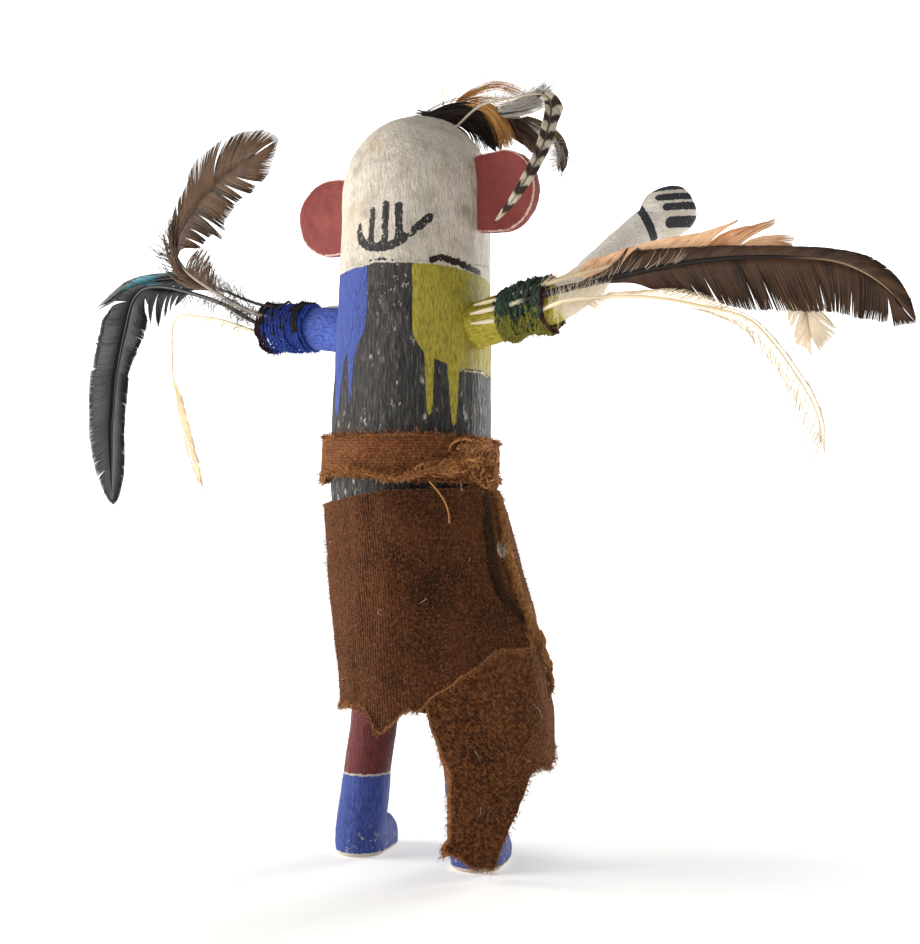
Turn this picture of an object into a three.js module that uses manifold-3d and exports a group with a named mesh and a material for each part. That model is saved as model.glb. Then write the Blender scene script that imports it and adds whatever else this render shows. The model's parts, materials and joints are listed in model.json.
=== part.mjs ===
// A carved and painted kachina doll with feathers, yarn bindings and a wool kilt, in millimetres, +Z up.
// The doll faces -Y, so its back is at +Y, its left hand at +X and its right hand at -X.
import * as THREE from "three";
import { mergeVertices } from "three/addons/utils/BufferGeometryUtils.js";
import Module from "manifold-3d";

const wasm = await Module();
wasm.setup();

// ---- Driving dimensions -------------------------------------------------------------------------
const GAP = 0.35; // clearance kept between any two pieces

// The trunk: head and torso are one round column that leans a little forwards.
const TRUNK_FOOT_Z = 102;
const SPRING_Z = 235.2; // where the dome of the head begins
const CROWN_Z = 261.5;
const HEAD_R = 26;
const WAIST_R = 28;
const TRUNK_PROFILE = [
  [TRUNK_FOOT_Z, 19],
  [105, 23.5],
  [112, 25.6],
  [122, 26.6],
  [130, WAIST_R - 0.2],
  [142, WAIST_R],
  [165, WAIST_R - 0.3],
  [187, 27.1],
  [206, 26.5],
  [220, 26.2],
  [SPRING_Z, HEAD_R],
];
const LEAN = { x: 0, y: -0.0425 }; // step of the axis for each mm up
const LEAN_FROM = { x: 0.59, y: 0.38, z: 130 };

// Legs and boots. heading is how far each boot turns outwards, in degrees.
const LEG_R = 8.4;
const CROTCH_Z = 114;
const ANKLE_Z = 20;
const BOOT_TOP_Z = 29;
const BOOT_SWELL = 0.45; // the boot is this much fatter than the leg
const HEEL_R = 9;
const TOE_R = 7;
const SOLE_LENGTH = 13; // between the centres of heel and toe
const LEGS = [
  { hip: [6, 1], heel: [23, -1], heading: 5 },
  { hip: [-6, 1], heel: [-23.6, -5.2], heading: -8 },
];

// Ears: D-shaped boards standing out of the sides of the head, the right one a little higher.
const EAR = { leftReach: 26, rightReach: 22.8, height: 28, thick: 4.4, forward: 0.6, leftZ: 229, rightZ: 232 };

// Arms, from the shoulder out: centre line and radii. Sideways and forwards sizes of arms and feathers
// count from the trunk's axis at the height where they are held.
const SHOULDER_Z = 187;
const ARM_LEFT = {
  path: [[27.1, 0.3, 187], [44.5, 0.3, 189.3], [60.5, 0.3, 191], [66.8, -5.7, 191.8],
    [65.5, -19.7, 192], [63.5, -28.7, 192.4]],
  radii: [8.2, 7.7, 6.6, 6.2, 5.8, 5.6],
  hand: { centre: [62.5, -36.7, 193], along: [-0.1, -1, 0.1] },
};
const ARM_RIGHT = {
  path: [[-27.6, 0.3, 186.6], [-43.5, 0.3, 190.3], [-55.5, -0.7, 193], [-62, -5.2, 197],
    [-70.5, -16.2, 209.5], [-77.5, -24.7, 219]],
  radii: [7.8, 7.7, 7.2, 6.4, 5.9, 5.7],
  hand: { centre: [-83, -31.7, 224.5], along: [-0.55, -0.7, 0.45] },
};
const HAND = { length: 19, width: 17.5, thick: 12 };

// Yarn bindings on the upper arms, thicker at the back, where they hold the quills.
const BINDINGS = [
  { name: "yarn_wrap_left", arm: ARM_LEFT, from: 42, to: 64.5, radius: 9.3, swell: 0.5, turns: 3 },
  { name: "yarn_wrap_right", arm: ARM_RIGHT, from: -35, to: -57.5, radius: 10, swell: 0.6, turns: 4 },
];
const BINDING_OFFSET = 1.5; // how far behind the trunk's axis a binding's centre sits

// Belt and kilt. Angles run round the trunk from the back towards the doll's right, in degrees.
const BELT = { bottom: 134, top: 149, outer: 31.2 };
const KNOT = { angle: 82, radius: 32.5, z: 139, width: 25, height: 19, depth: 10 };
const KILT_THICK = 1.3;
const KILT_START = 28; // the inner end, under the overlap
const KILT_END = 438; // the outer edge, at the doll's right hip
const KILT_CUT = { angle: 5, from: 57, to: 37 }; // the inner end is cut back between these heights
const KILT_STEPS = 41;
const KILT_ROWS = 6;
// [angle, top, hem] along the strip: its hem climbs from the floor round to the outer edge.
const KILT_EDGES = [
  [28, 128, 8], [40, 128, 5], [48, 128, 5], [62, 128, 23.5], [74, 128, 34.5], [95, 128, 34.6],
  [115, 127, 39], [213, 127, 46], [303, 124.8, 56], [350, 127.1, 58], [363, 128.5, 49.5],
  [380, 130, 56.5], [388, 130.7, 59], [404, 131, 70], [421, 131, 77], [438, 131, 77.5],
];
// The kilt's cross-section at three heights: centre, half widths and squareness.
const KILT_SECTIONS = [
  { z: 131, cx: 0, cy: 0, across: 30.4, deep: 30.4, square: 2 },
  { z: 88, cx: -6.3, cy: -4.7, across: 34.6, deep: 31, square: 2.2 },
  { z: 55, cx: -8.4, cy: -10, across: 36.6, deep: 30, square: 2.5 },
];
const KILT_VIEW = 33; // the flare's direction lies this many degrees off the doll's own axes

// Feathers. Each has a path of its shaft, and vane widths [share of length, one side, other side].
const FACING_BACK = [0, 1, 0];
const ARM_FEATHERS = [
  {
    name: "feather_right_long", colour: "dark", quill: 0.95, facing: FACING_BACK,
    path: [[-29.5, 9.5, 189.6], [-45.5, 9.5, 191.9], [-61.5, 9.9, 195], [-79.5, 9.5, 197.6],
      [-97.5, 9.3, 200], [-116.5, 9.3, 201.4], [-139.5, 9.3, 200.6], [-158.5, 8.8, 197.4], [-170.5, 8.3, 190],
      [-175.5, 8.3, 184]],
    vane: [[0.33, 0, 0], [0.42, 4.2, 3], [0.52, 5.6, 9], [0.64, 3.8, 16], [0.85, 3.6, 16.5], [0.95, 3, 10],
      [1, 1.5, 3]],
  },
  {
    name: "feather_right_tan", colour: "tan", quill: 0.7, facing: FACING_BACK,
    path: [[-30.5, 8.6, 192.6], [-43.5, 8.5, 194.6], [-57.5, 7.3, 198], [-76.5, 5.3, 202],
      [-96.5, 4.3, 204.5], [-116.5, 3.8, 204.4], [-133.5, 3.3, 199.6], [-143.5, 3.3, 189],
      [-146.5, 3.3, 177]],
    vane: [[0.3, 0, 0], [0.45, 4, 3], [0.6, 7.5, 4], [0.75, 8, 5], [0.9, 5, 5], [1, 1, 1]],
  },
  {
    name: "feather_right_cream", colour: "cream", quill: 0.75, facing: FACING_BACK,
    path: [[-29.5, 9.2, 186.4], [-45.5, 9.2, 187.8], [-64.5, 12.3, 191.2], [-79.5, 12.9, 191.8],
      [-97.5, 13.3, 190.8], [-115.5, 13.3, 187], [-130.5, 13.3, 182.4], [-138.5, 13.3, 174.8],
      [-144.5, 12.8, 166.5], [-149.5, 12.3, 158.5], [-152.5, 12.3, 151], [-153, 12.3, 144]],
    vane: [[0.35, 0, 0], [0.42, 4, 1.5], [0.62, 4, 2], [0.75, 2.5, 3], [0.9, 3.5, 4], [1, 1, 1]],
  },
  {
    name: "feather_left_brown", colour: "brown", quill: 0.9, facing: FACING_BACK,
    path: [[41.5, 9.1, 191.2], [62.5, 9.9, 194.2], [86.5, 10.8, 205.8], [98.5, 11.3, 214], [104, 11.3, 221],
      [100.5, 11.3, 229], [90.5, 11.3, 239], [78, 11.3, 246.5], [66.5, 11.3, 251], [56.5, 11.3, 254.5]],
    vane: [[0.5, 0, 0], [0.6, -9, -3], [0.7, -10.5, -11], [0.85, -11, -13], [0.95, -9, -10], [1, -6, -7]],
  },
  {
    name: "feather_left_black", colour: "black", quill: 0.9, facing: FACING_BACK,
    path: [[41.5, 9.2, 187.6], [62.5, 9.3, 190.6], [86.5, 7.3, 201.5], [99.5, 6.8, 205],
      [111.5, 6.8, 206.4], [120.5, 6.8, 204.5], [127, 6.8, 199], [131, 6.8, 191], [133.5, 6.8, 182],
      [136, 6.8, 169], [137.5, 6.8, 145], [137.5, 6.8, 124]],
    vane: [[0.52, 0, 0], [0.58, -8, -6], [0.68, -10, -11], [0.78, -5.5, -11], [0.92, -5.5, -9.5],
      [1, -1, -1]],
  },
  {
    name: "feather_left_teal", colour: "teal", quill: 0.6, facing: FACING_BACK,
    path: [[41.5, 7.7, 194.6], [62.5, 7.3, 198], [85.5, 4.8, 205.5], [100.5, 3.8, 210.2],
      [114.5, 3.8, 211.6], [131.5, 3.8, 209.8], [147.5, 3.8, 203.8]],
    vane: [[0.45, 0, 0], [0.6, -2.6, -2.6], [0.8, -3, -3], [0.95, -1.6, -1.6], [1, -0.8, -0.8]],
  },
  {
    name: "feather_left_cream", colour: "cream", quill: 0.6, facing: FACING_BACK,
    path: [[41.5, 8.6, 184.2], [62.5, 9.1, 187], [85.5, 10.3, 192.4], [101.5, 10.3, 196.4],
      [107, 10.3, 194], [108.5, 10.3, 187], [108.5, 10.3, 175.5], [106.5, 10.3, 165.5], [102.5, 10.3, 156.5],
      [98.5, 10.3, 144.5], [94, 10.3, 132.5]],
    vane: [[0.7, 0, 0], [0.78, -1.8, -1.8], [0.94, -1.6, -1.6], [1, -0.5, -0.5]],
  },
];
const HEAD_FEATHERS = [
  {
    name: "feather_head_barred", colour: "cream", quill: 0.5, facing: [-0.75, 0.45, 0.5],
    path: [[-7.6, -12.3, 259.8], [-18.1, -14.3, 267], [-32.1, -15.1, 267.5], [-44.1, -13.8, 264.5],
      [-51.1, -7.3, 254], [-53.1, 1.2, 241.5], [-50.6, 6.2, 231.5], [-44.1, 8.7, 221.7]],
    vane: [[0.25, 0, 0], [0.45, 1.6, 1.6], [0.7, 3, 3], [0.9, 2.6, 2.6], [1, 0.5, 0.5]],
  },
  {
    name: "feather_head_black", colour: "black", quill: 0.6, facing: [-0.3, 0.8, 0.5],
    path: [[-4.1, -11.4, 259.9], [-4.5, -14.8, 263.5], [-6.1, -19.8, 266], [-10.6, -23.6, 265.4],
      [-15, -25.6, 259.8], [-17.6, -26.8, 252.4]],
    vane: [[0, 1.2, 0.8], [0.3, 4, 3], [0.7, 4.5, 3.2], [1, 1.5, 1.5]],
  },
  {
    name: "feather_head_tan", colour: "tan", quill: 0.5, facing: [-0.4, 0.9, 0.2],
    path: [[-0.6, -15.8, 258.8], [-0.7, -20.8, 268], [-4.1, -26.3, 273.9], [-12.9, -33.2, 275.3],
      [-19.3, -36.2, 272.2], [-25.1, -37.8, 267.5]],
    vane: [[0.3, 0, 0], [0.5, 1.2, 1.2], [0.8, 1.6, 1.6], [1, 0.6, 0.6]],
  },
  {
    name: "feather_head_dark", colour: "dark", quill: 0.6, facing: [-0.5, 0.8, 0.4],
    path: [[-7.6, -18.3, 257.2], [-8.6, -30.8, 266.4], [-13.6, -37.3, 264.9], [-19.6, -41.8, 259],
      [-24.6, -44.3, 250], [-26.6, -44.8, 243]],
    vane: [[0.2, 0.8, 0.8], [0.5, 2.6, 2.6], [0.85, 4.5, 4.5], [1, 2.2, 2.2]],
  },
];
const TUFT_Z = 258; // where the head's feathers are set in
const FEATHER_STEPS = 16;
const VANE_EDGE = 0.3; // half the thickness of a vane's edge

const FINISH = {
  trunk: { color: 0x2b2a28, roughness: 0.75 },
  ear: { color: 0x6b2b2a, roughness: 0.7 },
  blue: { color: 0x35608c, roughness: 0.7 },
  yellow: { color: 0xa9a03a, roughness: 0.7 },
  wool: { color: 0x5a3c2c, roughness: 1 },
  belt: { color: 0x6a4a35, roughness: 1 },
  yarn: { color: 0x2e3a34, roughness: 1 },
  dark: { color: 0x3a2a22, roughness: 0.6 },
  black: { color: 0x1d1a1a, roughness: 0.5 },
  brown: { color: 0x5b4636, roughness: 0.6 },
  tan: { color: 0xb07a4a, roughness: 0.7 },
  cream: { color: 0xcfc2a5, roughness: 0.7 },
  teal: { color: 0x2f6f78, roughness: 0.4 },
};

// ---- Small helpers ------------------------------------------------------------------------------
const vec = (p) => new THREE.Vector3(...p);
const mix = (a, b, t) => a + (b - a) * t;
const smooth = (t) => t * t * (3 - 2 * t);
const clamp01 = (t) => Math.min(1, Math.max(0, t));

// Reads a table of rows [x, ...values] at x, along straight lines.
function readTable(rows, x) {
  if (x <= rows[0][0]) return rows[0].slice(1);
  for (let i = 1; i < rows.length; i++) {
    if (x > rows[i][0]) continue;
    const t = (x - rows[i - 1][0]) / (rows[i][0] - rows[i - 1][0]);
    return rows[i].slice(1).map((v, k) => mix(rows[i - 1][k + 1], v, t));
  }
  return rows[rows.length - 1].slice(1);
}

// Skins a stack of rings with the same number of points and closes both ends with a centre point.
function loft(rings) {
  const n = rings[0].length;
  const points = rings.flat();
  const faces = [];
  for (let r = 0; r + 1 < rings.length; r++)
    for (let i = 0; i < n; i++) {
      const [a, b] = [r * n + i, r * n + ((i + 1) % n)];
      faces.push(a, b, b + n, a, b + n, a + n);
    }
  for (const [ring, last] of [[0, false], [rings.length - 1, true]]) {
    const centre = new THREE.Vector3();
    rings[ring].forEach((p) => centre.addScaledVector(p, 1 / n));
    points.push(centre);
    for (let i = 0; i < n; i++) {
      const [a, b] = [ring * n + i, ring * n + ((i + 1) % n)];
      faces.push(...(last ? [a, b, points.length - 1] : [b, a, points.length - 1]));
    }
  }
  return meshOf(points, faces);
}

function meshOf(points, faces) {
  const geometry = new THREE.BufferGeometry().setFromPoints(points);
  return geometry.setIndex(faces);
}

// A geometry as a manifold solid, turned right side out.
function solid(geometry) {
  const bare = geometry.clone();
  bare.deleteAttribute("normal");
  bare.deleteAttribute("uv");
  const merged = mergeVertices(bare, 1e-4);
  const triVerts = new Uint32Array(merged.index.array);
  const vertProperties = new Float32Array(merged.attributes.position.array);
  const made = new wasm.Manifold(new wasm.Mesh({ numProp: 3, vertProperties, triVerts }));
  if (made.volume() > 0) return made;
  for (let i = 0; i < triVerts.length; i += 3)
    [triVerts[i + 1], triVerts[i + 2]] = [triVerts[i + 2], triVerts[i + 1]];
  return new wasm.Manifold(new wasm.Mesh({ numProp: 3, vertProperties, triVerts }));
}

function geometryOf(made) {
  const { vertProperties, numProp, triVerts } = made.getMesh();
  const points = [];
  for (let i = 0; i < vertProperties.length; i += numProp)
    points.push(new THREE.Vector3(...vertProperties.subarray(i, i + 3)));
  return meshOf(points, [...triVerts]);
}

// Keeps the largest body of a cut solid and drops crumbs.
function mainBody(made) {
  return made.decompose().sort((a, b) => b.volume() - a.volume())[0];
}

// A round limb along a path: rings square to the path, with domed ends.
function limb(path, radii, { sides = 14, steps = 11, grow = 0, dome = 2.5 } = {}) {
  const curve = new THREE.CatmullRomCurve3(path.map(vec), false, "centripetal");
  const rings = [];
  const up = new THREE.Vector3(0, 0, 1);
  const ringAt = (t, radius, shift) => {
    const tangent = curve.getTangent(t);
    const side = new THREE.Vector3().crossVectors(up, tangent).normalize();
    const lift = new THREE.Vector3().crossVectors(tangent, side);
    const centre = curve.getPoint(t).addScaledVector(tangent, shift);
    return Array.from({ length: sides }, (_, i) => {
      const a = (2 * Math.PI * i) / sides;
      return centre.clone().addScaledVector(side, radius * Math.cos(a))
        .addScaledVector(lift, radius * Math.sin(a));
    });
  };
  const radiusAt = (t) => {
    const at = t * (radii.length - 1);
    const i = Math.min(radii.length - 2, Math.floor(at));
    return mix(radii[i], radii[i + 1], at - i) + grow;
  };
  for (const share of [0.55, 0.86])
    rings.push(ringAt(0, radiusAt(0) * share, -grow + dome * 0.5 * (share - 0.55)));
  for (let i = 1; i <= steps; i++) rings.push(ringAt(i / steps, radiusAt(i / steps), 0));
  rings.push(ringAt(1, radiusAt(1) * 0.7, dome + grow));
  return loft(rings);
}

// ---- Trunk, legs and boots: one carving ---------------------------------------------------------
function trunkCentre(z) {
  return { x: LEAN_FROM.x + LEAN.x * (z - LEAN_FROM.z), y: LEAN_FROM.y + LEAN.y * (z - LEAN_FROM.z) };
}

function trunk(grow = 0) {
  const sides = 28;
  const domeSteps = 6;
  const profile = [...TRUNK_PROFILE];
  for (let i = 1; i <= domeSteps; i++) {
    const a = (Math.PI / 2) * Math.min(i / domeSteps, 0.985);
    profile.push([SPRING_Z + (CROWN_Z - SPRING_Z) * Math.sin(a), HEAD_R * Math.cos(a)]);
  }
  return loft(profile.map(([z, radius]) => {
    const { x, y } = trunkCentre(z);
    return Array.from({ length: sides }, (_, i) => {
      const a = (2 * Math.PI * i) / sides;
      return new THREE.Vector3(x + (radius + grow) * Math.cos(a), y + (radius + grow) * Math.sin(a), z);
    });
  }));
}

// Points that count from the trunk's axis at one height, as points of the doll.
function fromAxis(height, points) {
  const { x, y } = trunkCentre(height);
  return points.map((p) => [p[0] + x, p[1] + y, p[2]]);
}

// The outline of a boot seen from above: heel and toe circles joined by straight sides.
function bootOutline({ heel, heading }, inset, z) {
  const turn = THREE.MathUtils.degToRad(heading) * Math.sign(heel[0]);
  const forward = new THREE.Vector2(Math.sin(turn), -Math.cos(turn));
  const spread = Math.asin((HEEL_R - TOE_R) / SOLE_LENGTH);
  const arcs = [
    { along: 0, radius: HEEL_R, from: Math.PI / 2 - spread, to: (3 * Math.PI) / 2 + spread, count: 10 },
    { along: SOLE_LENGTH, radius: TOE_R, from: -Math.PI / 2 + spread, to: Math.PI / 2 - spread, count: 8 },
  ];
  const outline = [];
  for (const { along, radius, from, to, count } of arcs)
    for (let i = 0; i < count; i++) {
      const a = mix(from, to, i / (count - 1));
      const ahead = along + (radius - inset) * Math.cos(a);
      const aside = (radius - inset) * Math.sin(a);
      outline.push(new THREE.Vector3(
        heel[0] + forward.x * ahead - forward.y * aside,
        heel[1] + forward.y * ahead + forward.x * aside,
        z,
      ));
    }
  return outline;
}

function legAndBoot(leg) {
  const foot = [leg.heel[0] - 1.2 * Math.sign(leg.heel[0]), leg.heel[1] - 0.3];
  const at = (z) => {
    const t = (CROTCH_Z - z) / (CROTCH_Z - ANKLE_Z);
    return [mix(leg.hip[0], foot[0], t), mix(leg.hip[1], foot[1], t), z];
  };
  const shaft = [CROTCH_Z, BOOT_TOP_Z + 0.4, BOOT_TOP_Z, ANKLE_Z, 8];
  const radii = [LEG_R, LEG_R, LEG_R + BOOT_SWELL, LEG_R + BOOT_SWELL, LEG_R + BOOT_SWELL];
  const rings = shaft.map((z, k) => {
    const [x, y] = at(z);
    return Array.from({ length: 18 }, (_, i) => {
      const a = (-2 * Math.PI * i) / 18;
      return new THREE.Vector3(x + radii[k] * Math.cos(a), y + radii[k] * Math.sin(a), z);
    });
  });
  const layers = [[0, 0.5], [1, 0], [6, -0.2], [9.5, 1.2], [12, 3.4], [13.2, 5.6]];
  const boot = loft(layers.map(([z, inset]) => bootOutline(leg, inset, z)));
  return solid(loft(rings)).add(solid(boot));
}

function body() {
  return mainBody(LEGS.reduce((made, leg) => made.add(legAndBoot(leg)), solid(trunk())));
}

// ---- Ears ---------------------------------------------------------------------------------------
function ear(side) {
  const z = side > 0 ? EAR.leftZ : EAR.rightZ;
  const reach = side > 0 ? EAR.leftReach : EAR.rightReach;
  const { x, y } = trunkCentre(z);
  const root = x + side * (HEAD_R + GAP + 0.1);
  const half = EAR.height / 2;
  const bevel = 0.6;
  const shape = new THREE.Shape();
  shape.moveTo(bevel, -half * 0.94);
  shape.lineTo(reach * 0.3, -half + bevel);
  shape.absellipse(reach * 0.42, 0, reach * 0.58 - bevel, half - bevel, -Math.PI / 2, Math.PI / 2);
  shape.lineTo(bevel, half * 0.94);
  shape.closePath();
  const geometry = new THREE.ExtrudeGeometry(shape, {
    depth: EAR.thick - 2 * bevel, bevelEnabled: true, bevelThickness: bevel, bevelSize: bevel,
    bevelSegments: 1, curveSegments: 12,
  });
  geometry.translate(0, 0, -(EAR.thick - 2 * bevel) / 2);
  geometry.rotateX(Math.PI / 2);
  if (side < 0) geometry.rotateZ(Math.PI);
  geometry.translate(root, y - EAR.forward, z);
  return solid(geometry).subtract(solid(trunk(GAP)));
}

// ---- Arms and their bindings --------------------------------------------------------------------
function hand({ centre, along }) {
  const geometry = new THREE.SphereGeometry(0.5, 14, 9);
  geometry.scale(HAND.thick, HAND.length, HAND.width);
  const turn = new THREE.Quaternion().setFromUnitVectors(new THREE.Vector3(0, 1, 0), vec(along).normalize());
  geometry.applyQuaternion(turn);
  return geometry.translate(...fromAxis(SHOULDER_Z, [centre])[0]);
}

function arm(spec, grow = 0) {
  const upper = solid(limb(fromAxis(SHOULDER_Z, spec.path), spec.radii, { grow }));
  if (grow) return upper;
  return mainBody(upper.add(solid(hand(spec.hand))).subtract(solid(trunk(GAP))));
}

function binding(spec, quills) {
  const { from, to, radius, swell, turns } = spec;
  const curve = new THREE.CatmullRomCurve3(spec.arm.path.slice(0, 3).map(vec));
  const steps = turns * 2;
  const rings = [];
  for (let i = 0; i <= steps; i++) {
    const t = i / steps;
    const x = mix(from, to, t);
    const along = clamp01((x - spec.arm.path[0][0]) / (spec.arm.path[2][0] - spec.arm.path[0][0]));
    const { z } = curve.getPoint(along);
    const edge = Math.min(1, 0.88 + 4 * Math.min(t, 1 - t));
    const r = (radius + swell * Math.cos(2 * Math.PI * turns * t + Math.PI)) * edge;
    rings.push(Array.from({ length: 14 }, (_, k) => {
      const a = (2 * Math.PI * k) / 14;
      return vec(fromAxis(SHOULDER_Z, [[x, BINDING_OFFSET + r * Math.cos(a), z + r * Math.sin(a)]])[0]);
    }));
  }
  const ring = solid(loft(rings)).subtract(arm(spec.arm, GAP));
  return mainBody(quills.reduce((made, quill) => made.subtract(quill), ring));
}

// ---- Feathers -----------------------------------------------------------------------------------
// Each ring has the shaft's front and back ridges, and two thin edges.
function feather({ path, vane, quill, facing }, held, grow = 0) {
  const curve = new THREE.CatmullRomCurve3(fromAxis(held, path).map(vec), false, "centripetal");
  const front = vec(facing).normalize();
  const rings = [];
  for (let i = 0; i <= FEATHER_STEPS; i++) {
    const t = i / FEATHER_STEPS;
    const centre = curve.getPointAt(t);
    const tangent = curve.getTangentAt(t);
    const side = new THREE.Vector3().crossVectors(front, tangent).normalize();
    const normal = new THREE.Vector3().crossVectors(tangent, side).normalize();
    const ridge = mix(quill, VANE_EDGE + 0.05, t) + grow;
    const [one, other] = readTable(vane, t).map((w) => Math.max(Math.abs(w), ridge * 0.8) + grow);
    const edge = Math.min(VANE_EDGE + grow, ridge);
    const point = (across, out) =>
      centre.clone().addScaledVector(side, across).addScaledVector(normal, out);
    rings.push([point(0, ridge), point(one, edge), point(one, -edge), point(0, -ridge),
      point(-other, -edge), point(-other, edge)]);
  }
  return loft(rings);
}

// ---- Kilt and belt ------------------------------------------------------------------------------
// A point of the kilt's middle surface: angle round the trunk, height, and how far out of the surface.
function kiltPoint(angle, z, out) {
  const [upper, middle, lower] = KILT_SECTIONS;
  const [a, b] = z > middle.z ? [upper, middle] : [middle, lower];
  const t = clamp01((a.z - z) / (a.z - b.z));
  const part = (key) => mix(a[key], b[key], t);
  const turn = THREE.MathUtils.degToRad(angle - KILT_VIEW);
  const [c, s] = [Math.cos(turn), Math.sin(turn)];
  const power = 2 / part("square");
  const overlap = smooth(clamp01((angle - 290) / 90));
  const stand = out + overlap * mix(1.9, 3.4, clamp01((131 - z) / 60));
  const back = Math.sign(c) * Math.abs(c) ** power * (part("deep") + stand);
  const aside = Math.sign(s) * Math.abs(s) ** power * (part("across") + stand);
  const view = THREE.MathUtils.degToRad(KILT_VIEW);
  return new THREE.Vector3(
    part("cx") - back * Math.sin(view) - aside * Math.cos(view),
    part("cy") + back * Math.cos(view) - aside * Math.sin(view),
    z,
  );
}

// The strip as a loft of upright sections, each a thin closed outline down one face and up the other.
function kilt(grow = 0) {
  const half = KILT_THICK / 2 + grow;
  const rings = [];
  for (let i = 0; i <= KILT_STEPS; i++) {
    const angle = mix(KILT_START, KILT_END, i / KILT_STEPS);
    const [top, hem] = readTable(KILT_EDGES, angle);
    const rows = Array.from({ length: KILT_ROWS + 1 }, (_, k) =>
      mix(top + grow, hem - grow, k / KILT_ROWS));
    const cutBack = (z) => clamp01((KILT_CUT.from - z) / (KILT_CUT.from - KILT_CUT.to));
    const cut = (z) => (i === 0 ? KILT_CUT.angle * cutBack(z) : 0);
    rings.push([
      ...rows.map((z) => kiltPoint(angle + cut(z), z, half)),
      ...rows.reverse().map((z) => kiltPoint(angle + cut(z), z, -half)),
    ]);
  }
  return ribbonLoft(rings);
}

// As loft, but each end is closed as a ladder, because its outline is long and thin.
function ribbonLoft(rings) {
  const n = rings[0].length;
  const faces = [];
  for (let r = 0; r + 1 < rings.length; r++)
    for (let i = 0; i < n; i++) {
      const [a, b] = [r * n + i, r * n + ((i + 1) % n)];
      faces.push(a, b, b + n, a, b + n, a + n);
    }
  for (const [start, last] of [[0, false], [(rings.length - 1) * n, true]])
    for (let k = 0; k < n / 2 - 1; k++) {
      const [a, b, c, d] = [start + k, start + k + 1, start + n - 2 - k, start + n - 1 - k];
      faces.push(...(last ? [a, b, c, a, c, d] : [a, c, b, a, d, c]));
    }
  return meshOf(rings.flat(), faces);
}

function belt() {
  const rows = [[BELT.bottom, -1.2], [BELT.bottom + 1.5, 0], [(BELT.bottom + BELT.top) / 2, 0.25],
    [BELT.top - 1.5, 0], [BELT.top, -1.2]];
  const ring = loft(rows.map(([z, swell]) => {
    const { x, y } = trunkCentre(z);
    return Array.from({ length: 30 }, (_, i) => {
      const a = (2 * Math.PI * i) / 30;
      const r = BELT.outer + swell;
      return new THREE.Vector3(x + r * Math.cos(a), y + r * Math.sin(a), z);
    });
  }));
  const knot = new THREE.SphereGeometry(0.5, 12, 8);
  knot.scale(KNOT.width, KNOT.depth, KNOT.height);
  const turn = THREE.MathUtils.degToRad(KNOT.angle);
  knot.rotateZ(turn);
  knot.translate(-KNOT.radius * Math.sin(turn), KNOT.radius * Math.cos(turn), KNOT.z);
  const made = solid(ring).add(solid(knot)).subtract(solid(trunk(GAP))).subtract(solid(kilt(GAP)));
  return mainBody(made);
}

// ---- The doll -----------------------------------------------------------------------------------
const doll = new THREE.Group();

function add(name, made, finish) {
  const geometry = geometryOf(made);
  const material = new THREE.MeshStandardMaterial({ ...FINISH[finish], metalness: 0 });
  const piece = new THREE.Mesh(geometry, material);
  piece.name = name;
  doll.add(piece);
}

add("body", body(), "trunk");
add("ear_left", ear(1), "ear");
add("ear_right", ear(-1), "ear");
add("arm_left", arm(ARM_LEFT), "blue");
add("arm_right", arm(ARM_RIGHT), "yellow");
for (const spec of ARM_FEATHERS) add(spec.name, solid(feather(spec, SHOULDER_Z)), spec.colour);
for (const spec of HEAD_FEATHERS) add(spec.name, solid(feather(spec, TUFT_Z)), spec.colour);
for (const spec of BINDINGS) {
  const side = Math.sign(spec.from);
  const held = ARM_FEATHERS.filter(({ path }) => Math.sign(path[0][0]) === side);
  const quills = held.map((one) => solid(feather(one, SHOULDER_Z, GAP)));
  add(spec.name, binding(spec, quills), "yarn");
}
add("kilt", solid(kilt()), "wool");
add("belt", belt(), "belt");

// The doll stands on the origin: the middle of its outline, at the soles.
const box = new THREE.Box3().setFromObject(doll);
doll.position.set(-(box.min.x + box.max.x) / 2, -(box.min.y + box.max.y) / 2, -box.min.z);

export default doll;
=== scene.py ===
# %% [markdown]
# # A carved doll dressed in feathers, yarn and wool
#
# This lesson finishes a wooden kachina doll. The solids of its parts are already made, at their real
# size, and they stay where they are. Blender's work is the surface: mineral paint on carved root wood,
# napped handspun wool, wool yarn, and feathers built barb by barb.
#
# The first cell loads the solids as a fixed frame. Everything made later takes its place from them.

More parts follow.
